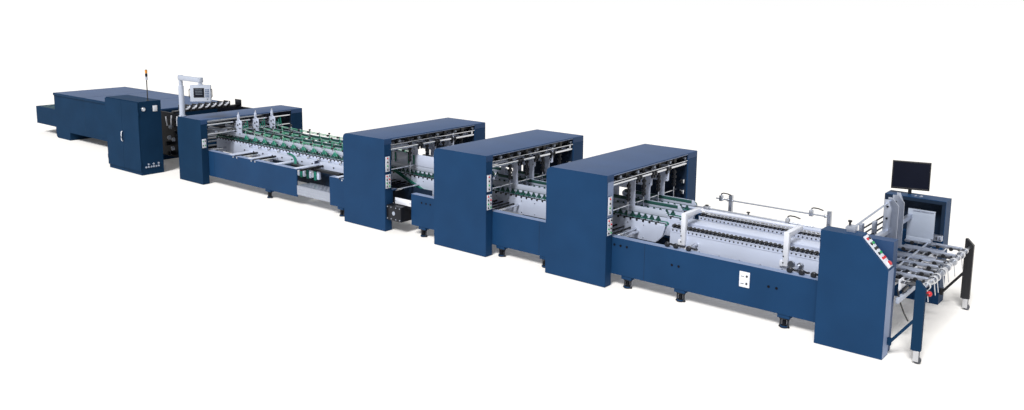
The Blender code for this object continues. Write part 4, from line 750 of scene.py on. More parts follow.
chrome, dark, pale = forms(3)
far_low, far_high = reach("far_gauge_rod")
far_y, far_z = (far_low.y + far_high.y) / 2, far_high.z - 0.075
for x in (10.81, 12.125):
    lever(chrome, dark, x, far_y, far_z)
for x in (10.90, 12.30):
    rod(chrome, (x, far_y, far_z), (x + 0.03, far_y, far_z), 0.022, 12, 0.003)
arm_y, arm_z = 1.18, 0.99
rod(chrome, (10.87, arm_y, arm_z), (12.50, arm_y, arm_z), 0.011, 12, 0.002)
lever(chrome, dark, 12.17, arm_y, arm_z)
block(chrome, (11.01, arm_y - 0.03, 0.965), (11.09, arm_y + 0.03, 1.02), 0.005)
for x in (11.05, 11.64):
    turned(dark, (x, arm_y, 1.0), UP, KNURLED_SCREW, 12)
arm_low = reach("transfer_arms")[0]
for x in (10.925, 12.32):
    for z in (0.60, 0.68):
        across(dark, x, z, arm_low.y - 0.012, arm_low.y, 0.010, 6)
    block(pale, (x - 0.05, arm_low.y + 0.002, 0.55), (x + 0.05, arm_low.y + 0.04, 0.62), 0.004)
for x, radius in ((12.42, 0.042), (12.53, 0.038)):
    turned(chrome, (x, 0.72, 0.60), INWARD, grooved(radius), 18)
publish("rod_clamps", chrome, STEEL)
publish("lever_handles", dark, NYLON)
publish("arm_feet", pale, WHITE)

# %% [markdown]
# Round shaft ends and black caps sit on the near frame's flange where a carrier can be moved sideways.

# %% Shaft ends on the near frame
HAND_KNOB = [(0, 0), (0, 0.020), (0.012, 0.020), (0.016, 0.034), (0.040, 0.034), (0.046, 0.026), (0.046, 0)]
dark = bmesh.new()
for x in (11.02, 11.14, 11.32, 12.62, 12.76, 12.90):
    bent(dark, [(x, 0.42, 0.64), (x, 0.34, 0.66), (x, 0.27, 0.69), (x - 0.01, 0.22, 0.695)], 0.014)
    turned(dark, (x - 0.01, 0.24, 0.695), OUTWARD, HAND_KNOB, 14)
publish("setting_shaft_ends", dark, OXIDE)

# %% [markdown]
# The feed table is a comb of bright bars between two cross shafts. Black wheels and belts run along
# the bars, and clamping rings, pins and thumb screws sit on the front shaft.

# %% Feed table details
SHAFT_X, SHAFT_Z = 14.057, 0.795
RAIL_SPAN = (13.37, 14.02)
HUB = [(0, 0), (0, 0.030), (0.012, 0.034), (0.036, 0.034), (0.048, 0.030), (0.048, 0)]
RING = [(0, 0), (0, 0.040), (0.006, 0.046), (0.034, 0.046), (0.04, 0.040), (0.04, 0)]
THUMB_SCREW = [(0, 0), (0, 0.006), (0.02, 0.006), (0.022, 0.014), (0.034, 0.014), (0.036, 0)]
chrome, dark, pale = forms(3)
for row in (0.515, 0.759, 1.047, 1.273, 1.657, 2.016):
    for x in (13.45, 13.60, 13.75, 13.90):
        across(dark, x, 0.792, row - 0.032, row + 0.032, 0.024, 14, 0.003)
    for y in (row - 0.026, row + 0.021):
        block(pale, (RAIL_SPAN[0], y, 0.806), (RAIL_SPAN[1], y + 0.005, 0.826), 0.001)
    turned(chrome, (SHAFT_X, row - 0.024, SHAFT_Z), INWARD, HUB)
for row in (0.323, 0.60, 0.721, 0.956, 1.17, 1.449, 1.80):
    turned(chrome, (SHAFT_X, row - 0.02, SHAFT_Z), INWARD, RING, 18)
    rod(chrome, (SHAFT_X + 0.01, row, SHAFT_Z - 0.03), (SHAFT_X + 0.03, row, SHAFT_Z - 0.17), 0.006, 8)
    turned(dark, (SHAFT_X - 0.02, row, SHAFT_Z + 0.03), (-0.4, 0, 1), THUMB_SCREW, 10)
for x in (13.52, 13.68, 13.83):
    across(chrome, x, 0.772, 0.34, 2.17, 0.008, 10)
for row in (0.63, 0.90, 1.16, 1.46, 1.84):
    block(pale, (13.40, row - 0.045, 0.780), (13.86, row + 0.045, 0.790), 0.002)
publish("table_rings_and_pins", chrome, CHROME)
publish("table_wheels", dark, NYLON)
publish("table_bar_rails", pale, SHEET)

# %% [markdown]
# The gauge stands across the feeder: two bright plates on a beam, with clamps, fingers and a slanted
# rod that runs down to the near housing. Its pieces are small, so their edges are only just softened.

# %% Front gauge details
GAUGE_KNOB = [(0, 0), (0, 0.012), (0.03, 0.012), (0.032, 0.022), (0.05, 0.022), (0.052, 0)]
dark, pale = forms(2)
turned(dark, (13.285, 0.12, 1.37), UP, GAUGE_KNOB, 12)
for row in (1.05, 1.19, 1.36, 1.52):
    outline = [(13.36, 0.83), (13.42, 0.83), (13.44, 1.40), (13.40, 1.50), (13.36, 1.50)]
    plate(pale, outline, row - 0.004, row + 0.004, edge=0.001)
    for z in (0.90, 1.02, 1.28, 1.42):
        across(dark, 13.40, z, row - 0.02, row + 0.02, 0.013, 8)
for x, z in ((13.373, 1.304), (13.438, 1.309)):
    across(pale, x, z, FAR_FACE + 0.17, FAR_FACE + 0.10, 0.022, 14, 0.004)
block(pale, (13.432, 2.001, 1.19), (13.678, 2.009, 1.208), 0.002)
block(pale, (13.64, 2.11, 0.83), (13.76, 2.18, 0.90), 0.006)
for index in range(3):
    x = 13.665 + 0.035 * index
    block(dark, (x - 0.004, 2.107, 0.845), (x + 0.004, 2.112, 0.885))
block(pale, (13.10, 0.42, 1.00), (13.30, 0.47, 1.16), 0.004)
for index, x in enumerate((13.08, 13.16, 13.24, 13.32)):
    across(dark, x, 1.06, 0.50, 2.10, 0.010, 10)
    y = 0.66 + 0.22 * index
    block(pale, (x - 0.02, y, 1.02), (x + 0.02, y + 0.08, 1.20), 0.004)
publish("gauge_clamps", dark, OXIDE)
publish("gauge_plates", pale, SHEET)

# %% [markdown]
# Under the table hang an apron, a beam and a strut, and a red ball knob shows beside the near leg.

# %% Apron, struts and ball knob
pale, dark, ball, beam = forms(4)
block(pale, (13.766, 0.36, 0.66), (13.774, 1.90, 0.79), 0.002)
block(beam, (13.766, 0.30, 0.54), (13.80, 1.95, 0.60), 0.004)
for row in (0.56, 0.86, 1.16, 1.46):
    block(dark, (13.775, row - 0.10, 0.625), (13.80, row + 0.10, 0.655), 0.003)
bent(dark, [(13.78, 0.30, 0.69), (13.78, 0.45, 0.50), (13.78, 0.62, 0.34), (13.78, 0.80, 0.20)], 0.009)
rod(dark, (14.08, 0.17, 0.75), (14.13, 0.20, 0.75), 0.009, 8)
made = bmesh.ops.create_uvsphere(ball, u_segments=16, v_segments=10, radius=0.03)["verts"]
bmesh.ops.translate(ball, verts=made, vec=(14.118, 0.215, 0.75))
publish("table_apron", pale, WHITE)
publish("apron_brushes", dark, NYLON)
publish("table_beam", beam, GREY)
publish("red_ball_knob", ball, RED)

# %% [markdown]
# The feeder's far housing is open towards the pile. Its recess is lined with a dark sheet of painted shade,
# and so is the rim round it.

# %% Feeder lining of painted shade
TRAY_RIM, TRAY_LOW = 0.045, 0.85
far_low, far_high = reach("feeder_far_housing")
left, right = far_low.x + TRAY_RIM, far_high.x - TRAY_RIM
floor_z, ceiling = TRAY_LOW + 0.001, far_high.z - TRAY_RIM
front, back = far_low.y + 0.002, far_low.y + 0.2
form = bmesh.new()
block(form, (left + 0.001, back - 0.004, floor_z), (right - 0.001, back - 0.0005, ceiling - 0.001))
block(form, (left + 0.0005, front, floor_z), (left + 0.003, back - 0.004, ceiling - 0.001))
block(form, (right - 0.003, front, floor_z), (right - 0.0005, back - 0.004, ceiling - 0.001))
block(form, (left + 0.003, front, ceiling - 0.003), (right - 0.003, back - 0.004, ceiling - 0.0005))
publish("feeder_recess_painted_shade", form, SHADE_AND_SEAM)

# %% [markdown]
# The folding bay is the busiest part. Three narrow plates hang from the exit gantry. From them thin
# rails slope down to the next gantry, held by posts with black knobs. Below them lie pale beds, green
# belts and folding bars. Each row has the same kit, shifted a little, as on the real machine.

# %% Hangers of the exit gantry
left, right, under, top = GANTRIES["exit"]
HANGER_X = right - 0.081
HANGER_END = HANGER_X + 0.24
EXIT_SHAFT = (right - 0.046, under - 0.027)
NECK_LEFT, NECK_RIGHT, NECK_TOP = right + 0.029, right + 0.069, 1.33
pale, chrome, dark, green = forms(4)
hanger = [(HANGER_X + 0.06, 0.88), (HANGER_END - 0.03, 0.88), (HANGER_END, 0.92), (HANGER_END, under - 0.02)]
hanger += [(HANGER_END - 0.02, under), (NECK_RIGHT + 0.01, under + 0.02), (NECK_RIGHT, under + 0.05)]
hanger += [(NECK_RIGHT, NECK_TOP), (NECK_LEFT, NECK_TOP), (NECK_LEFT, under + 0.02)]
hanger += [(NECK_LEFT - 0.02, under - 0.005), (HANGER_X, under - 0.005), (HANGER_X, 1.06)]
hanger += [(HANGER_X + 0.06, 1.02)]
for row in CARRIER_ROWS:
    plate(pale, hanger, row - 0.008, row + 0.008, edge=0.002)
    block(pale, (NECK_LEFT - 0.004, row - 0.018, 1.20), (NECK_RIGHT + 0.004, row + 0.018, 1.30), 0.004)
    rod(chrome, (NECK_LEFT + 0.02, row, 1.30), (NECK_LEFT + 0.02, row, 1.36), 0.009, 10)
    for back_step, z in ((0.05, 0.93), (0.05, 1.04), (0.12, 1.10), (0.05, 1.13)):
        across(dark, HANGER_END - back_step, z, row - 0.022, row + 0.02, 0.015, 12, 0.002)
    for y in (row - 0.06, row + 0.03):
        across(dark, *EXIT_SHAFT, y, y + 0.03, 0.034, 12, 0.003)
    for step in range(3):
        x, z, y = HANGER_END + 0.03 * step, 0.93 + 0.05 * step, row + 0.03 + 0.02 * step
        strap = [(x + 0.03, z), (x + 0.055, z), (x + 0.025, z + 0.17), (x, z + 0.17)]
        plate(green, strap, y, y + 0.004)
across(chrome, *EXIT_SHAFT, NEAR_FACE, FAR_FACE, 0.018)
for x, z in ((0.60, 1.13), (0.42, 1.12), (0.79, 0.98), (0.55, 0.95), (0.35, 0.93)):
    across(chrome, x, z, NEAR_FACE, FAR_FACE, 0.013, 14)
for row in (0.40, 0.62, 1.02, 1.42, 1.86):
    rod(dark, (0.20, row, 0.90), (0.78, row, 0.96), 0.014, 8)
    block(pale, (0.15, row - 0.03, 0.98), (0.74, row + 0.03, 1.02), 0.004)
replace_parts(publish("exit_hanger_plates", pale, PALE), "folding_upper_carriers")
publish("exit_cross_shafts", chrome, CHROME)
publish("exit_clamps", dark, OXIDE)
publish("exit_belt_straps", green, BELT)

# %% Folding rails, posts and knobs
RAIL_START, RAIL_END = HANGER_X + 0.20, 5.08
RAIL_HIGH, RAIL_LOW = 1.02, 0.96
POST_PITCH, POST_COUNT, POST_FOOT = 0.30, 13, 0.80
KNOB_PROFILE = [(0, 0), (0, 0.010), (0.016, 0.010), (0.018, 0.022), (0.036, 0.022), (0.040, 0.016), (0.040, 0)]
LACQUER = finish("green_lacquer", "4E9B7C", 0.40, patch=0.08)


def rail_height(x):
    """The height of the sloping rail at a place along the line."""
    return RAIL_HIGH + (RAIL_LOW - RAIL_HIGH) * (x - RAIL_START) / (RAIL_END - RAIL_START)


def folding_post(x, row, index):
    """A post with its block, knobs, hook, guide plate and roller."""
    z = rail_height(x)
    rise = 0.035 if index % 3 == 1 else 0.012
    rod(posts, (x, row, POST_FOOT), (x, row, z + rise), 0.007, 10)
    block(posts, (x - 0.014, row - 0.014, z - 0.014), (x + 0.014, row + 0.014, z + 0.014), 0.003)
    turned(knobs, (x, row - 0.014, z), OUTWARD, KNOB_PROFILE, 12)
    if index % 2:
        turned(knobs, (x, row, z + rise), (0.2, 0, 1), KNOB_PROFILE, 12)
    turned(knobs, (x + 0.10, row + 0.04, 0.89), (0, -0.3, 1), KNOB_PROFILE, 12)
    rod(posts, (x + 0.10, row + 0.04, POST_FOOT), (x + 0.10, row + 0.04, 0.895), 0.006, 8)
    hook = [(x, row, z - 0.01), (x + 0.08, row - 0.05, z - 0.03)]
    hook += [(x + 0.15, row - 0.08, 0.91), (x + 0.20, row - 0.09, 0.85)]
    bent(rails, hook, 0.005, 8)
    guide = [(x + 0.02, 0.845), (x + 0.19, 0.845), (x + 0.17, 0.905), (x + 0.06, 0.925)]
    plate(guides, guide, row - 0.055, row - 0.050, edge=0.001)
    across(knobs, x + 0.16, 0.85, row - 0.07, row - 0.03, 0.022, 12, 0.002)


rails, posts, knobs, guides, links = forms(5)
for number, row in enumerate(CARRIER_ROWS):
    rod(rails, (RAIL_START, row, RAIL_HIGH), (RAIL_END, row, RAIL_LOW), 0.0075, 10)
    rod(rails, (RAIL_START + 0.1, row + 0.09, 0.97), (RAIL_END, row + 0.06, 0.92), 0.006, 10)
    rod(links, (RAIL_START + 0.02, row - 0.07, 1.06), (RAIL_START + 1.3, row - 0.05, 0.93), 0.0065, 10)
    for index in range(POST_COUNT):
        x = RAIL_START + 0.16 + POST_PITCH * index + 0.05 * number
        if x <= RAIL_END - 0.03:
            folding_post(x, row, index)
publish("folding_rails", rails, LACQUER)
publish("folding_links", links, STEEL)
publish("folding_posts", posts, CHROME)
publish("folding_knobs", knobs, NYLON)
publish("folding_guide_plates", guides, BELT)

# %% [markdown]
# Pale beds fill the bay between the carriers and the near frame, with open pockets between their cross
# rails. One twisted belt leaves the second bed and dives towards the drive below.

# %% Folding beds and cross rails
BED_SPANS = ((1.45, 1.60), (2.08, 2.18), (2.86, 2.98), (3.45, 3.56), (4.60, 4.70), (4.90, 5.02))
pale, dark, green, silver = forms(4)
for low_x, high_x in BED_SPANS:
    block(pale, (low_x - 0.001, NEAR_FACE + 0.03, 0.640), (high_x + 0.001, 0.785, FRAME_TOP + 0.004), 0.003)
for x in (1.66, 1.78, 2.24, 2.36, 3.64, 4.82):
    across(silver, x, 0.64, NEAR_FACE, 0.79, 0.016, 14, 0.002)
for x in (1.72, 2.30, 3.70, 4.76):
    across(dark, x, 0.66, NEAR_FACE, 0.79, 0.020, 6)
for low_x, high_x in ((1.2, 3.45), (3.6, 4.98)):
    block(pale, (low_x, 0.66, 0.60), (high_x, 0.665, 0.72), 0.001)
    block(pale, (low_x, 0.66, 0.715), (high_x, 0.78, 0.722), 0.001)
for index in range(12):
    x = 1.30 + 0.30 * index
    across(dark, x, 0.665, 0.645, 0.667, 0.014, 8, 0.002)
    block(silver, (x + 0.10, 0.69, 0.722), (x + 0.15, 0.74, 0.765), 0.004)

# %% Twisted belt
TWIST_STEPS = 16
TWIST_TURN = math.radians(80)
TWIST_HALF_WIDTH, TWIST_HALF_SHEET = 0.024, 0.003
TWIST_PATH = ((2.62, 0.70, 0.76), (3.00, 0.66, 0.75), (3.10, 0.50, 0.66), (3.20, 0.38, 0.50))
corners = []
for step in range(TWIST_STEPS + 1):
    share = step / TWIST_STEPS
    weights = ((1 - share) ** 3, 3 * share * (1 - share) ** 2, 3 * share * share * (1 - share), share ** 3)
    middle = sum((Vector(point) * weight for point, weight in zip(TWIST_PATH, weights)), Vector())
    turn = TWIST_TURN * share
    side = Vector((math.sin(turn), math.cos(turn), 0.0)) * TWIST_HALF_WIDTH
    lift = Vector((0.0, 0.0, TWIST_HALF_SHEET))
    ring = (middle - side - lift, middle + side - lift, middle + side + lift, middle - side + lift)
    corners.append([green.verts.new(point) for point in ring])
for before, after in zip(corners, corners[1:]):
    for index in range(4):
        following = (index + 1) % 4
        green.faces.new((before[index], before[following], after[following], after[index]))
green.faces.new(corners[0][::-1])
green.faces.new(corners[-1])
for x in (3.12, 3.28, 3.46, 3.68):
    block(green, (x, 0.46, 0.43), (x + 0.06, 0.50, 0.60), 0.004)
    block(pale, (x + 0.07, 0.47, 0.45), (x + 0.13, 0.52, 0.61), 0.004)
block(dark, (3.05, 0.44, 0.605), (4.40, 0.54, 0.645), 0.004)
publish("folding_beds", pale, PALE)
publish("folding_hex_bars", dark, OXIDE)
publish("twisted_belt", green, BELT)
publish("folding_cross_shafts", silver, CHROME)

# %% [markdown]
# In the next bay a green belt runs slanting down from the carriers to the drive unit under them, past
# tension straps on the upper plates.

# %% Gluing bay belts
left, right, under, top = GANTRIES["gluing"]
green, pale = forms(2)
slope = [(left + 0.30, 0.83), (left + 0.33, 0.85), (left + 1.25, 0.515), (left + 1.22, 0.49)]
belt(green, slope, 0.75, 0.79, 0.006)
for x in (right - 0.72, right - 0.60, right - 0.28, right - 0.16):
    block(green, (x, 0.785, 0.96), (x + 0.035, 0.791, 1.12), 0.001)
block(pale, (right - 0.80, 0.795, 0.95), (right + 0.46, 0.801, 1.14), 0.002)
publish("gluing_drive_belt", green, BELT)
publish("gluing_belt_guard", pale, PALE)

# %% [markdown]
# The roof of a gantry and its near leg are one folded cover on the real machine, so the navy front runs
# up to the top edge. A thin skin over the front does the same here. On the right face of each near leg
# sit white switch plates with black, green and red buttons.

# %% Front skins and switch plates
SKIN = 0.0015
ROLLED_EDGE, SHARP_EDGE = 0.088, 0.006
SWITCH_SHEET = 0.003
BUTTON_PROFILE = [(0, 0), (0, 0.013), (0.004, 0.013), (0.005, 0.010), (0.011, 0.010)]
BUTTON_PROFILE += [(0.013, 0.007), (0.013, 0)]
plates, black, green, red = forms(4)


def hem(right, top):
    """The near-sharp right edge of a roof."""
    return corner(right - SHARP_EDGE, top - SHARP_EDGE, SHARP_EDGE, 0.0, 3)


def rolled(left, top, radius=ROLLED_EDGE):
    """The rolled left edge of a roof."""
    return corner(left + ROLLED_EDGE, top - ROLLED_EDGE, radius, 90.0, 6)


def switch_plate(x, low_y, high_y, low_z, high_z, columns, lines):
    """A white plate on a leg's right face, with rows of buttons."""
    outer = x + SWITCH_SHEET
    block(plates, (x, low_y, low_z), (outer, high_y, high_z), 0.001)
    for column in range(columns):
        for line in range(lines):
            y = low_y + (high_y - low_y) * (column + 0.5) / columns
            z = low_z + (high_z - low_z) * (line + 0.5) / lines
            cap = (black, green, black, red)[(line + column) % 4]
            turned(cap, (outer, y, z), RIGHT, BUTTON_PROFILE, 12)
            block(black, (outer, y - 0.012, z + 0.018), (outer + 0.0006, y + 0.012, z + 0.022))


for name, (left, right, under, top) in GANTRIES.items():
    skins = bmesh.new()
    far_side = reach(f"{name}_far_housing")[1].y
    for low_y, high_y in ((-SKIN, 0.0), (far_side, far_side + SKIN)):
        plate(skins, [(left, 0.004), (right, 0.004)] + hem(right, top) + rolled(left, top), low_y, high_y)
    publish(f"{name}_front_skins", skins, DEEP if name == "exit" else NAVY)
    face = reach(f"{name}_near_housing")[1].x
    if name == "exit":
        switch_plate(face, 0.008, 0.097, 0.733, 0.907, 2, 2)
    else:
        switch_plate(face, 0.008, 0.097, 0.973, 1.217, 1, 4)
        switch_plate(face, 0.008, 0.117, 0.703, 0.927, 2, 4)
publish("switch_plates", plates, WHITE)
publish("black_switch_buttons", black, NYLON)
publish("green_switch_buttons", green, GREEN)
publish("red_switch_buttons", red, RED)

# %% [markdown]
# The near frame is made of long folded covers. Each joint shows as a dark seam, round caps close the
# holes of the setting shafts, and the flange on top is painted paler: a painted highlight where it
# catches the light.

# %% Seams, caps and flange of the side frames
CAP_PROFILE = [(0, 0), (0, 0.017), (0.002, 0.017), (0.003, 0.014), (0.001, 0.012), (0.001, 0)]
CAP_PLACES = {0.563: (10.264, 10.359, 10.454), 0.46: (11.119, 11.214), 0.462: (12.393, 12.49)}
CAP_PLACES[0.553] = (6.71, 6.806, 6.899)
SIDE_FRAMES = ("folding_near", "gluing_near", "main_near", "folding_far", "main_far")
FLANGE_NEAR = (NEAR_FACE + 0.001, NEAR_FACE + 0.109)
FLANGE_FAR = (FAR_FACE - 0.109, FAR_FACE - 0.001)
seams, caps, flange, box_plate, box_keys = forms(5)
for x in (1.02, 10.72, 9.02):
    block(seams, (x - 0.002, NEAR_FACE - 0.0012, 0.17), (x + 0.002, NEAR_FACE, 0.655))
for z, places in CAP_PLACES.items():
    for x in places:
        turned(caps, (x, NEAR_FACE, z), OUTWARD, CAP_PROFILE)
for name in SIDE_FRAMES:
    low, high = reach(f"{name}_frame")
    start_y, end_y = FLANGE_NEAR if name.endswith("near") else FLANGE_FAR
    block(flange, (low.x + 0.002, start_y, high.z), (high.x - 0.002, end_y, high.z + 0.0015))
box_front = NEAR_FACE - 0.012
block(box_plate, (12.03, box_front, 0.39), (12.16, NEAR_FACE, 0.58), 0.003)
for z in (0.44, 0.53):
    turned(box_keys, (12.125, box_front, z), OUTWARD, BUTTON_PROFILE, 14)
    block(box_keys, (12.05, box_front - 0.0005, z - 0.012), (12.09, box_front, z - 0.004))
publish("cover_seams", seams, SHADE_AND_SEAM)
publish("panel_caps", caps, BLACK_AND_SHADE)
publish("flange_painted_highlight", flange, HIGHLIGHT_SLATE)
publish("two_button_box", box_plate, WHITE)
publish("two_buttons", box_keys, NYLON)

# %% [markdown]
# A levelling foot is a threaded stem with a lock nut on a steel pad. The real ones stand in pairs below
# a short bracket. The thread is a stack of fine rings, too small to need a real helix.

# %% Levelling feet
FOOT_PLACES = (2.71, 4.75, 6.70, 8.30, 9.10, 10.45, 11.23, 12.585)
STEM_RADII = {-0.045: 0.012, 0.0: 0.026, 0.045: 0.012}
WIDE_PAD = [(0.0005, 0), (0.0005, 0.052), (0.008, 0.052), (0.018, 0.040), (0.026, 0.030), (0.026, 0)]
SMALL_PAD = [(0.0005, 0), (0.0005, 0.022), (0.010, 0.022), (0.022, 0.015), (0.022, 0)]
THREAD_PITCH = 0.006
brackets, stems, pads = forms(3)


def thread(low_z, high_z, radius):
    """The profile of a stem with rings for its thread."""
    profile = [(low_z, 0.0)]
    for index in range(int((high_z - low_z) / THREAD_PITCH)):
        z = low_z + THREAD_PITCH * index
        profile += [(z, radius * 0.86), (z + THREAD_PITCH / 2, radius)]
    return profile + [(high_z, radius * 0.86), (high_z, 0.0)]


for x in FOOT_PLACES:
    for y in (NEAR_FACE + 0.055, FAR_FACE - 0.055):
        block(brackets, (x - 0.075, y - 0.045, 0.118), (x + 0.075, y + 0.045, 0.17), 0.004)
        for offset, radius in STEM_RADII.items():
            turned(stems, (x + offset, y, 0), UP, thread(0.022, 0.12, radius), 12)
            rod(stems, (x + offset, y, 0.098), (x + offset, y, 0.117), radius * 1.55, 6)
        turned(pads, (x, y, 0), UP, WIDE_PAD, 18)
        for offset in (-0.045, 0.045):
            turned(pads, (x + offset, y, 0), UP, SMALL_PAD, 12)
publish("foot_brackets", brackets, NAVY)
publish("foot_stems", stems, OXIDE)
publish("foot_pads", pads, OXIDE)

# %% [markdown]
# Each roof is a folded sheet between two closed ends. Its left edge is rolled and turned down, and its
# right edge is a thin hem, so the opening below reaches almost up to the roof. The sheet and its ends
# replace the plain roof solid.

# %% Roof covers
for name, (left, right, under, top) in GANTRIES.items():
    low, high = reach(f"{name}_roof")
    form = bmesh.new()
    closed = [(left, under), (right, under)] + hem(right, top) + rolled(left, top)
    sheet = [(right, top - ROOF_SHEET)] + hem(right, top) + rolled(left, top)
    sheet += [(left, under), (left + ROOF_SHEET, under)] + rolled(left, top, ROLLED_EDGE - ROOF_SHEET)[::-1]
    plate(form, closed, low.y, NEAR_FACE)
    plate(form, closed, FAR_FACE, high.y)
    plate(form, sheet, NEAR_FACE - 0.001, FAR_FACE + 0.001)
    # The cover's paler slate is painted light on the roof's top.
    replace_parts(publish(f"{name}_roof_cover", form, SLATE_KEYS_AND_TOP_LIGHT), f"{name}_roof")

# %% [markdown]
# The transfer arms are square tubes, welded at the corner and capped at the open end.

# %% Transfer arms
TUBE_HALF = 0.032
ARM_PLACES = (10.95, 12.345)
low, high = reach("transfer_arms")
post_y = low.y + 0.0225
form = bmesh.new()
for x in ARM_PLACES:
    left, right = x - TUBE_HALF, x + TUBE_HALF
    block(form, (left, post_y - TUBE_HALF, 0.56), (right, post_y + TUBE_HALF, high.z), 0.004)
    block(form, (left + 0.001, post_y, high.z - TUBE_HALF * 2), (right - 0.001, high.y, high.z - 0.001), 0.004)
    block(form, (left - 0.01, post_y + 0.04, 0.86), (left + 0.004, post_y + 0.30, 0.90), 0.003)
bar_low = (ARM_PLACES[0], high.y - 0.037, high.z - 0.035)
block(form, bar_low, (ARM_PLACES[1], high.y - 0.007, high.z - 0.01), 0.003)
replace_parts(publish("transfer_arm_tubes", form, WHITE), "transfer_arms")

# %% [markdown]
# The control pendant hangs from a round-cornered tube arm. Its box is a thin enamelled case with a
# dark screen in a frame, a key panel beside it and two grips on its sides. It swivels about its neck,
# so its pieces ride with it.

# %% Pendant
PENDANT_TURN = math.radians(47)
CASE_HALF, CASE_DEPTH_HALF, CASE_HEIGHT = 0.19, 0.05, 0.312
CASE_SKIN = 0.002
NECK_PROFILE = [(0, 0), (0, 0.055), (0.012, 0.055), (0.018, 0.036), (0.055, 0.036), (0.055, 0)]
low, high = reach("pendant_screen_box")
case_low, case_high = low.z, low.z + CASE_HEIGHT
middle = ((low.x + high.x) / 2, (low.y + high.y) / 2, 0.0)
hung = Matrix.Translation(middle) @ Matrix.Rotation(PENDANT_TURN, 4, "Z")
face = -CASE_DEPTH_HALF
case, screen_frame, glass, lines, grips, keys = forms(6)
corner_low = (-CASE_HALF - CASE_SKIN, face - CASE_SKIN, case_low - CASE_SKIN)
block(case, corner_low, (CASE_HALF + CASE_SKIN, CASE_SKIN - face, case_high + CASE_SKIN), 0.008)
turned(case, (0, 0, case_high), UP, NECK_PROFILE, 20)
block(screen_frame, (-0.125, face - 0.008, case_low + 0.075), (0.075, face - 0.002, case_high - 0.05), 0.003)
block(glass, (-0.112, face - 0.010, case_low + 0.090), (0.062, face - 0.0075, case_high - 0.065), 0.001)
for line in range(4):
    z = case_high - 0.09 - 0.03 * line
    block(lines, (-0.10 + 0.004 * line, face - 0.0108, z), (0.04, face - 0.0098, z + 0.012))
for column in range(3):
    for line in range(5):
        x, z = 0.105 + 0.026 * column, case_low + 0.09 + 0.034 * line
        block(keys, (x - 0.009, face - 0.005, z - 0.011), (x + 0.009, face - 0.002, z + 0.011), 0.001)
turned(lines, (0.131, face - 0.002, case_low + 0.045), OUTWARD, BUTTON_PROFILE)
for side in (-1, 1):
    x, y = side * (CASE_HALF + CASE_SKIN), face + 0.03
    path = [(x, y, case_low + 0.07), (x + side * 0.022, y, case_low + 0.09)]
    bent(grips, path + [(x + side * 0.022, y, case_high - 0.09), (x, y, case_high - 0.07)], 0.009, 12)
CASE_PIECES = {
    "case": (case, GREY),
    "screen_frame": (screen_frame, NYLON),
    "glass": (glass, GLASS),
    "lines": (lines, SCREEN),
    "keys": (keys, SLATE_KEYS_AND_TOP_LIGHT),
    "grips": (grips, NYLON),
}
for word, (form, coat) in CASE_PIECES.items():
    form.transform(hung)
    publish(f"pendant_{word}", form, coat, body="pendant")

# %% Pendant arm and post foot
POST_X, POST_Y, ARM_END_X = 0.075, 0.075, 0.775
SCREW_CIRCLE = 0.060
POST_FOOT_PROFILE = [(0, 0), (0, 0.072), (0.012, 0.072), (0.015, 0.060), (0.03, 0.052), (0.60, 0.052)]
POST_FOOT_PROFILE += [(0.62, 0.0405), (0.62, 0)]
roof_top = GANTRIES["exit"][3]
arm_top = reach("pendant_arm")[1].z
form = bmesh.new()
for x in (POST_X, ARM_END_X):
    turned(form, (x, POST_Y, arm_top - 0.002), UP, domed(0.052, 0.012, 0.044, 0.018), 24)
block(form, (0.03, POST_Y - 0.048, arm_top - 0.085), (0.82, POST_Y + 0.048, arm_top + 0.008), 0.022)
publish("pendant_arm_cover", form, GREY, body="arm")
form = bmesh.new()
turned(form, (POST_X, POST_Y, roof_top), UP, POST_FOOT_PROFILE, 24)
publish("pendant_post_foot", form, GREY)
form = bmesh.new()
for quarter in range(4):
    angle = math.radians(45 + 90 * quarter)
    x, y = POST_X + SCREW_CIRCLE * math.cos(angle), POST_Y + SCREW_CIRCLE * math.sin(angle)
    rod(form, (x, y, roof_top + 0.010), (x, y, roof_top + 0.020), 0.008, 6)
publish("pendant_foot_screws", form, OXIDE)

# %% [markdown]
# The monitor over the feeder is an ordinary flat screen: a thin black bezel, a dark panel set back in
# it, and a clamp behind.

# %% Monitor
MONITOR_TURN = math.radians(15)
MONITOR_POST = Vector((13.28, 2.361, 0.0))
SCREEN_HALF = 0.225
SCREEN_LOW, SCREEN_HIGH = 1.387, 1.747
SCREEN_FRONT = -0.0175
BEZEL_BARS = (
    (-SCREEN_HALF, SCREEN_HALF, SCREEN_LOW, SCREEN_LOW + 0.022),
    (-SCREEN_HALF, SCREEN_HALF, SCREEN_HIGH - 0.014, SCREEN_HIGH),
    (-SCREEN_HALF, 0.014 - SCREEN_HALF, SCREEN_LOW, SCREEN_HIGH),
    (SCREEN_HALF - 0.014, SCREEN_HALF, SCREEN_LOW, SCREEN_HIGH),
)
centre = MONITOR_POST + Matrix.Rotation(MONITOR_TURN, 3, "Z") @ Vector((0.0, -0.032, 0.0))
tilt = Matrix.Translation(centre) @ Matrix.Rotation(MONITOR_TURN, 4, "Z")
bezel, panel, back = forms(3)
for left, right, foot, head in BEZEL_BARS:
    block(bezel, (left, SCREEN_FRONT - 0.004, foot), (right, SCREEN_FRONT + 0.002, head), 0.0015)
panel_low = (-0.212, SCREEN_FRONT - 0.0015, SCREEN_LOW + 0.02)
block(panel, panel_low, (0.212, SCREEN_FRONT - 0.0002, SCREEN_HIGH - 0.012))
block(back, (-0.15, 0.017, SCREEN_LOW + 0.06), (0.15, 0.026, SCREEN_HIGH - 0.08), 0.006)
turned(back, (0, 0.026, 1.50), INWARD, domed(0.05, 0.012, 0.03, 0.016), 20)
for form, word, coat in ((bezel, "bezel", NYLON), (panel, "panel", GLASS), (back, "back", NYLON)):
    form.transform(tilt)
    publish(f"monitor_{word}", form, coat, body="screen")

# %% [markdown]
# The cabinet is a steel enclosure. Its right door has a pale curved pull, and the side that faces the
# line has a small round meter, a switch and a row of glands near the floor.

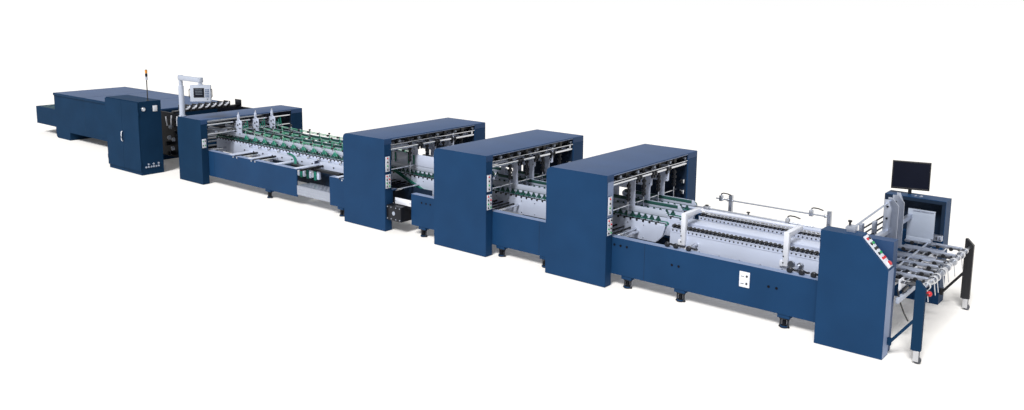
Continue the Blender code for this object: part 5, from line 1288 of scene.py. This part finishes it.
# %% Cabinet trims
GLAND = stepped((0.012, 0.020), (0.022, 0.016))[:-1] + [(0.026, 0.011), (0.026, 0)]
GLAND_PITCH = 0.055
METER_Z = 1.36
low = reach("cabinet_right_door")[0]
x = low.x + 0.05
path = [(x, low.y + 0.015, 0.655), (x, low.y - 0.006, 0.67), (x + 0.004, low.y - 0.016, 0.72)]
path += [(x + 0.010, low.y - 0.018, 0.78), (x + 0.006, low.y - 0.010, 0.85), (x, low.y + 0.015, 0.868)]
form = bmesh.new()
bent(form, path, 0.010, 12)
publish("cabinet_pull", form, WHITE, body="cabinet_right")
shell_low, shell_high = reach("cabinet_shell")
side, front = shell_high.x, shell_low.y
dials, marks, glands, plinth = forms(4)
turned(dials, (side, front + 0.10, METER_Z), RIGHT, domed(0.045, 0.004, 0.040, 0.010), 24)
block(marks, (side, front + 0.30, 1.30), (side + 0.006, front + 0.40, 1.42), 0.002)
turned(marks, (side + 0.0095, front + 0.10, METER_Z), RIGHT, stepped((0.001, 0.032)), 24)
for index in range(6):
    for z in (0.16, 0.215)[: 1 + index % 2]:
        turned(glands, (side, front + 0.09 + GLAND_PITCH * index, z), RIGHT, GLAND, 12)
# A dark recessed plinth at the floor: painted shade under the cabinet.
block(plinth, (shell_low.x + 0.03, front + 0.02, 0.001), (side - 0.03, shell_high.y - 0.02, 0.079))
publish("cabinet_dials", dials, STEEL)
publish("cabinet_dial_faces", marks, WHITE)
publish("cabinet_glands", glands, ZINC)
publish("cabinet_plinth_painted_shade", plinth, SHADE_AND_SEAM)

# %% [markdown]
# A signal tower is a stack of ribbed lenses on a thin stem: amber on top, a smoked one and a clear one.

# %% Signal tower
LENS_PITCH = 0.069
RIB_PITCH = 0.009
low, high = reach("signal_tower")
stem_x, stem_y = (low.x + high.x) / 2, (low.y + high.y) / 2
lens = [(0, 0), (0, 0.0235)]
for rib in range(6):
    lens += [(0.006 + RIB_PITCH * rib, 0.0245), (0.0105 + RIB_PITCH * rib, 0.0232)]
lens += [(0.062, 0.0235), (0.062, 0)]
for index, (word, coat) in enumerate((("amber", AMBER), ("dark", GLASS), ("clear", GREY))):
    form = bmesh.new()
    turned(form, (stem_x, stem_y, high.z - 0.072 - LENS_PITCH * index), UP, lens, 18)
    publish(f"tower_{word}_lens", form, coat)
form = bmesh.new()
turned(form, (stem_x, stem_y, high.z - 0.011), UP, domed(0.0245, 0.006, 0.015, 0.011), 18)
publish("tower_cap", form, NYLON)

# %% [markdown]
# The operator strip lies on the slanted edge of the near feeder wall. Its buttons come in pairs, black,
# red and green, and a wide red stop button sits at its low end.

# %% Operator strip
SLANT = (0.309, 0.0, -0.320)
STRIP_SHEET = 0.0125
BUTTON_PITCH, BUTTON_OFFSET = 0.062, 0.03
BUTTON_PAIRS = (("red", "black"), ("black", "green"), ("black", "black"), ("black", "green"), ("red", "red"))
STOP_BUTTON = [(0, 0), (0, 0.016), (0.016, 0.016), (0.016, 0.027), (0.026, 0.026), (0.031, 0.019), (0.031, 0)]
low, high = reach("operator_strip")
wall_low, wall_high = reach("feeder_near_housing")
slope = Vector(SLANT).normalized()
out = Vector((-slope.z, 0.0, slope.x))
strip_top = Vector((wall_high.x - SLANT[0], (low.y + high.y) / 2, wall_high.z)) + out * STRIP_SHEET
caps = dict(zip(("black", "red", "green"), forms(3)))
for group, pair in enumerate(BUTTON_PAIRS):
    for word, offset in zip(pair, (-BUTTON_OFFSET, BUTTON_OFFSET)):
        foot = strip_top + slope * (BUTTON_PITCH + BUTTON_PITCH * group) + Vector((0.0, offset, 0.0))
        turned(caps[word], foot, out, domed(0.0175, 0.006, 0.014, 0.0125))
turned(caps["red"], strip_top + slope * 0.385, out, STOP_BUTTON, 24)
for word, coat in (("black", NYLON), ("red", RED), ("green", GREEN)):
    publish(f"operator_{word}_buttons", caps[word], coat)

# %% [markdown]
# The stop beside the blanks is a folded sheet of zinc-plated steel with a stiffening lip along its top.

# %% Side stop
form = bmesh.new()
block(form, (13.372, 2.0055, 0.87), (13.69, 2.0085, 1.216), 0.001)
block(form, (13.372, 2.0065, 0.80), (13.66, 2.0085, 0.87), 0.001)
block(form, (13.372, 2.0065, 1.205), (13.69, 2.030, 1.216), 0.002)
publish("side_stop_sheet", form, ZINC)

# %% [markdown]
# The intake is an open stand between two black side plates. Rows of slim nip rollers with silver ends
# cross it at several heights, and the far row of holders is white brackets with black blades.

# %% Intake rollers and levers
NIP_ROLLERS = ((-0.30, 1.04), (-0.42, 0.95), (-0.24, 0.86), (-0.40, 0.72), (-0.28, 0.62))
NIP_ROLLERS += ((-0.44, 0.50), (-0.30, 0.38), (-0.70, 0.92), (-0.78, 0.60), (-1.30, 0.86))
PULLEYS = ((-1.46, 0.48), (-1.41, 0.27), (-1.36, 0.62), (-1.10, 0.75))
PULLEYS += ((-1.07, 1.02), (-1.24, 0.40), (-1.30, 0.86), (-1.20, 0.60))
PULLEY_PROFILE = [(0, 0), (0, 0.034), (0.006, 0.045), (0.012, 0.034), (0.034, 0.034), (0.040, 0.045)]
PULLEY_PROFILE += [(0.046, 0.034), (0.046, 0)]
low, high = reach("intake_roller_stand")
near = low.y + 0.06
rollers, pulleys, levers = forms(3)
for x, z in NIP_ROLLERS:
    across(rollers, x, z, near + 0.008, high.y - 0.045, 0.016, 12)
for x, z in PULLEYS:
    turned(pulleys, (x, near - 0.052, z), INWARD, PULLEY_PROFILE, 20)
for x, z, lean in ((-1.22, 1.06, 0.04), (-1.38, 1.02, -0.03), (-0.98, 1.06, 0.02)):
    y = near - 0.058
    bent(levers, [(x, near - 0.05, z - 0.14), (x + lean / 3, y, z - 0.05), (x + lean, y, z + 0.06)], 0.014, 10)
publish("intake_nip_rollers", rollers, STEEL)
publish("intake_pulleys", pulleys, ZINC)
publish("intake_levers", levers, WHITE)

# %% Intake brackets
BRACKET = [(-1.395, 1.195), (-1.36, 1.185), (-1.28, 1.20), (-1.195, 1.25), (-1.185, 1.285), (-1.215, 1.29)]
BRACKET += [(-1.30, 1.235)]
far_end = reach("intake_holders")[1].y
arms, blades, clips = forms(3)
for index in range(8):
    y = 0.88 + 0.16 * index
    plate(arms, BRACKET, y - 0.022, y - 0.010, edge=0.001)
    turned(clips, (-1.30, y - 0.028, 1.256), INWARD, stepped((0.02, 0.012)), 12)
block(blades, (-1.36, 0.67, 1.181), (-1.24, far_end - 0.02, 1.190), 0.002)
block(blades, (-1.418, far_end - 0.012, 1.152), (-1.182, far_end, 1.304), 0.002)
publish("intake_brackets", arms, WHITE)
publish("intake_clips", clips, ZINC)
publish("intake_end_plate", blades, OXIDE)

# %% [markdown]
# The press section is a closed hood. Its cover overhangs a little, with a hemmed lip and a shallow seam
# between its sheets, and its long sides are joined from three panels.

# %% Press trims
STRAP_PITCH = 0.14
low, high = reach("press_body")
cover_low, cover_high = reach("press_cover")
seams, lips, straps = forms(3)
for x in (-5.28, -3.70):
    for near_y, far_y in ((low.y - 0.0008, low.y + 0.001), (high.y - 0.001, high.y + 0.0008)):
        block(seams, (x - 0.0015, near_y, 0.30), (x + 0.0015, far_y, high.z - 0.004))
    lip_low = (x - 0.004, cover_low.y + 0.004, cover_high.z)
    block(lips, lip_low, (x + 0.004, cover_high.y - 0.004, cover_high.z + 0.0012))
seam_low = (cover_low.x + 0.01, low.y - 0.0012, high.z - 0.012)
block(seams, seam_low, (cover_high.x - 0.01, low.y + 0.001, high.z - 0.002))
for y in (cover_low.y - 0.0015, cover_high.y - 0.0035):
    block(lips, (cover_low.x, y, cover_low.z - 0.012), (cover_high.x, y + 0.005, cover_high.z + 0.001), 0.002)
low, high = reach("delivery_table")
for index in range(12):
    y = low.y + 0.09 + STRAP_PITCH * index
    block(straps, (low.x + 0.04, y, high.z), (high.x - 0.02, y + 0.06, high.z + 0.002), 0.0005)
publish("press_panel_gaps", seams, SHADE_AND_SEAM)
publish("press_cover_lips", lips, DEEP)
publish("delivery_straps", straps, DARK_BELT)

# %% [markdown]
# The tread by the folding bay is chequer plate: rows of raised lens-shaped dots, each turned against
# its neighbour, which catch the light in pairs.

# %% Chequer plate
DOT_PITCH, DOT_RISE_PITCH = 0.05, 0.045
DOT_HALF, DOT_RADIUS = 0.011, 0.0045
low, high = reach("walkway_tread_step")
dots = bmesh.new()
for column in range(int((high.x - low.x - 0.06) / DOT_PITCH)):
    x = low.x + 0.04 + DOT_PITCH * column
    left, right = x - DOT_HALF, x + DOT_HALF
    for line in range(int((high.y - low.y - 0.04) / DOT_PITCH)):
        y, z = low.y + 0.035 + DOT_PITCH * line, high.z - 0.001
        lean = 0.011 if (column + line) % 2 else -0.011
        rod(dots, (left, y - lean, z), (right, y + lean, z), DOT_RADIUS, 6)
    for line in range(int((high.z - low.z - 0.03) / DOT_RISE_PITCH)):
        y, z = low.y + 0.001, low.z + 0.03 + DOT_RISE_PITCH * line
        lean = 0.010 if (column + line) % 2 else -0.010
        rod(dots, (left, y, z - lean), (right, y, z + lean), DOT_RADIUS, 6)
publish("tread_lenses", dots, STEEL)

# %% [markdown]
# The drive under the gluing bay is a black cast box. Bright socket screws hold its front plate, and a
# white bracket carries it.

# %% Drive unit
DRIVE_FRONT, BRACKET_FRONT = 0.0275, 0.145
front, bolts, bracket = forms(3)
block(front, (6.046, DRIVE_FRONT, 0.208), (6.362, 0.034, 0.434), 0.004)
for x in (6.066, 6.150, 6.255, 6.342):
    for z in (0.226, 0.416):
        turned(bolts, (x, DRIVE_FRONT, z), OUTWARD, domed(0.009, 0.005, 0.006, 0.007), 12)
turned(bolts, (6.204, DRIVE_FRONT, 0.321), OUTWARD, domed(0.032, 0.003, 0.020, 0.006), 24)
block(bracket, (6.117, BRACKET_FRONT, 0.452), (6.478, 0.150, 0.553), 0.001)
for x in (6.135, 6.46):
    turned(bolts, (x, BRACKET_FRONT, 0.50), OUTWARD, stepped((0.006, 0.010)), 12)
publish("drive_front_plate", front, OXIDE)
publish("drive_bolts", bolts, ZINC)
publish("drive_bracket_face", bracket, WHITE)

# %% [markdown]
# Behind the tread the folding bay shows a dark inner wall, a sheet of painted shade, with a pair of
# green belt rollers and a white valve block in front of it. Dark rails with bright hand knobs close the
# space under each roof.

# %% Bay interiors
BELT_ROLLER = [(0, 0), (0, 0.042), (0.008, 0.046), (0.15, 0.046), (0.158, 0.042), (0.158, 0)]
ROOF_KNOB = [(0, 0), (0, 0.011), (0.02, 0.011), (0.02, 0.021), (0.03, 0.024), (0.042, 0.021), (0.045, 0)]
CLAMP_PITCH = 0.22
walls, greens, valves, rails, knobs, clamps = forms(6)
block(walls, (2.20, 0.6555, 0.28), (4.45, 0.6585, 0.59), 0.001)
block(walls, (5.06, 0.6555, 0.28), (6.45, 0.6585, 0.62), 0.001)
for x in (2.98, 3.06, 3.20):
    turned(greens, (x, 0.56, 0.44), UP, BELT_ROLLER, 20)
for x in (3.38, 3.54):
    block(valves, (x, 0.48, 0.47), (x + 0.11, 0.60, 0.62), 0.006)
    turned(valves, (x + 0.055, 0.48, 0.545), OUTWARD, stepped((0.018, 0.022), (0.03, 0.012)), 12)
for name in OPEN_GANTRIES:
    left, right, under, top = GANTRIES[name]
    for x in (right - 0.10, left + 0.30):
        block(rails, (x - 0.02, NEAR_FACE, top - 0.085), (x + 0.02, FAR_FACE, top - 0.040), 0.002)
    for index in range(9):
        y = NEAR_FACE + CLAMP_PITCH + CLAMP_PITCH * index
        block(clamps, (right - 0.13, y - 0.035, top - 0.125), (right - 0.07, y + 0.035, top - 0.020), 0.004)
        if index % 2 == 0:
            turned(knobs, (right - 0.07, y, top - 0.075), RIGHT, ROOF_KNOB, 14)
publish("folding_inner_painted_shade_wall", walls, SHADE_AND_SEAM)
publish("folding_side_rollers", greens, BELT)
publish("folding_valve_blocks", valves, WHITE)
publish("roof_rails", rails, OXIDE)
publish("roof_rail_clamps", clamps, NYLON)
publish("roof_rail_knobs", knobs, ZINC)

# %% [markdown]
# The ends of the folded housings get a paler slate, a painted highlight where the light falls on them:
# the right face of the prefold leg, and the feeder wall below its slanted edge. The rim round the far
# recess is painted darker than the wall's own ends, as painted shade, since it lies in the shade of the
# feeder.

# %% Housing ends and recess rim
ends, rims = forms(2)
left, right, under, top = GANTRIES["prefold"]
block(ends, (right, 0.012, 0.935), (right + 0.0008, 0.148, under - 0.002))
end_low = (wall_high.x, wall_low.y + 0.006, 0.010)
block(ends, end_low, (wall_high.x + 0.0012, wall_high.y - 0.006, wall_high.z - 0.324))
inner_left, inner_right = far_low.x + TRAY_RIM + 0.002, far_high.x - TRAY_RIM - 0.002
rim_top = far_high.z - TRAY_RIM
RIM_BARS = (
    (far_low.x + 0.004, far_high.x - 0.004, rim_top - 0.002, far_high.z - 0.006),
    (far_low.x + 0.004, inner_left, TRAY_LOW, rim_top),
    (inner_right, far_high.x - 0.006, TRAY_LOW, rim_top),
)
for start, end, foot, head in RIM_BARS:
    block(rims, (start, far_low.y - 0.0012, foot), (end, far_low.y + 0.0004, head))
publish("painted_highlight_housing_ends", ends, HIGHLIGHT_SLATE)
publish("recess_rim", rims, SHADE_AND_SEAM)

# %% [markdown]
# Dark rubber slats lie between the bars of the feed table, a little below them, and a dark valance, a
# sheet of painted shade, closes the left side of each gantry above the carriers.

# %% Slats and valances
slats, valances = forms(2)
for y in (0.44, 0.58, 0.84, 1.06, 1.31, 1.58, 1.74, 1.90):
    block(slats, (13.44, y - 0.028, 0.742), (13.99, y + 0.028, 0.758), 0.002)
for name in OPEN_GANTRIES:
    left, right, under, top = GANTRIES[name]
    valance_low = (left + 0.012, NEAR_FACE + 0.002, under - 0.28)
    block(valances, valance_low, (left + 0.016, FAR_FACE - 0.002, under + 0.001))
publish("feed_table_slats", slats, RUBBER)
publish("gantry_painted_shade_valances", valances, BLACK_AND_SHADE)
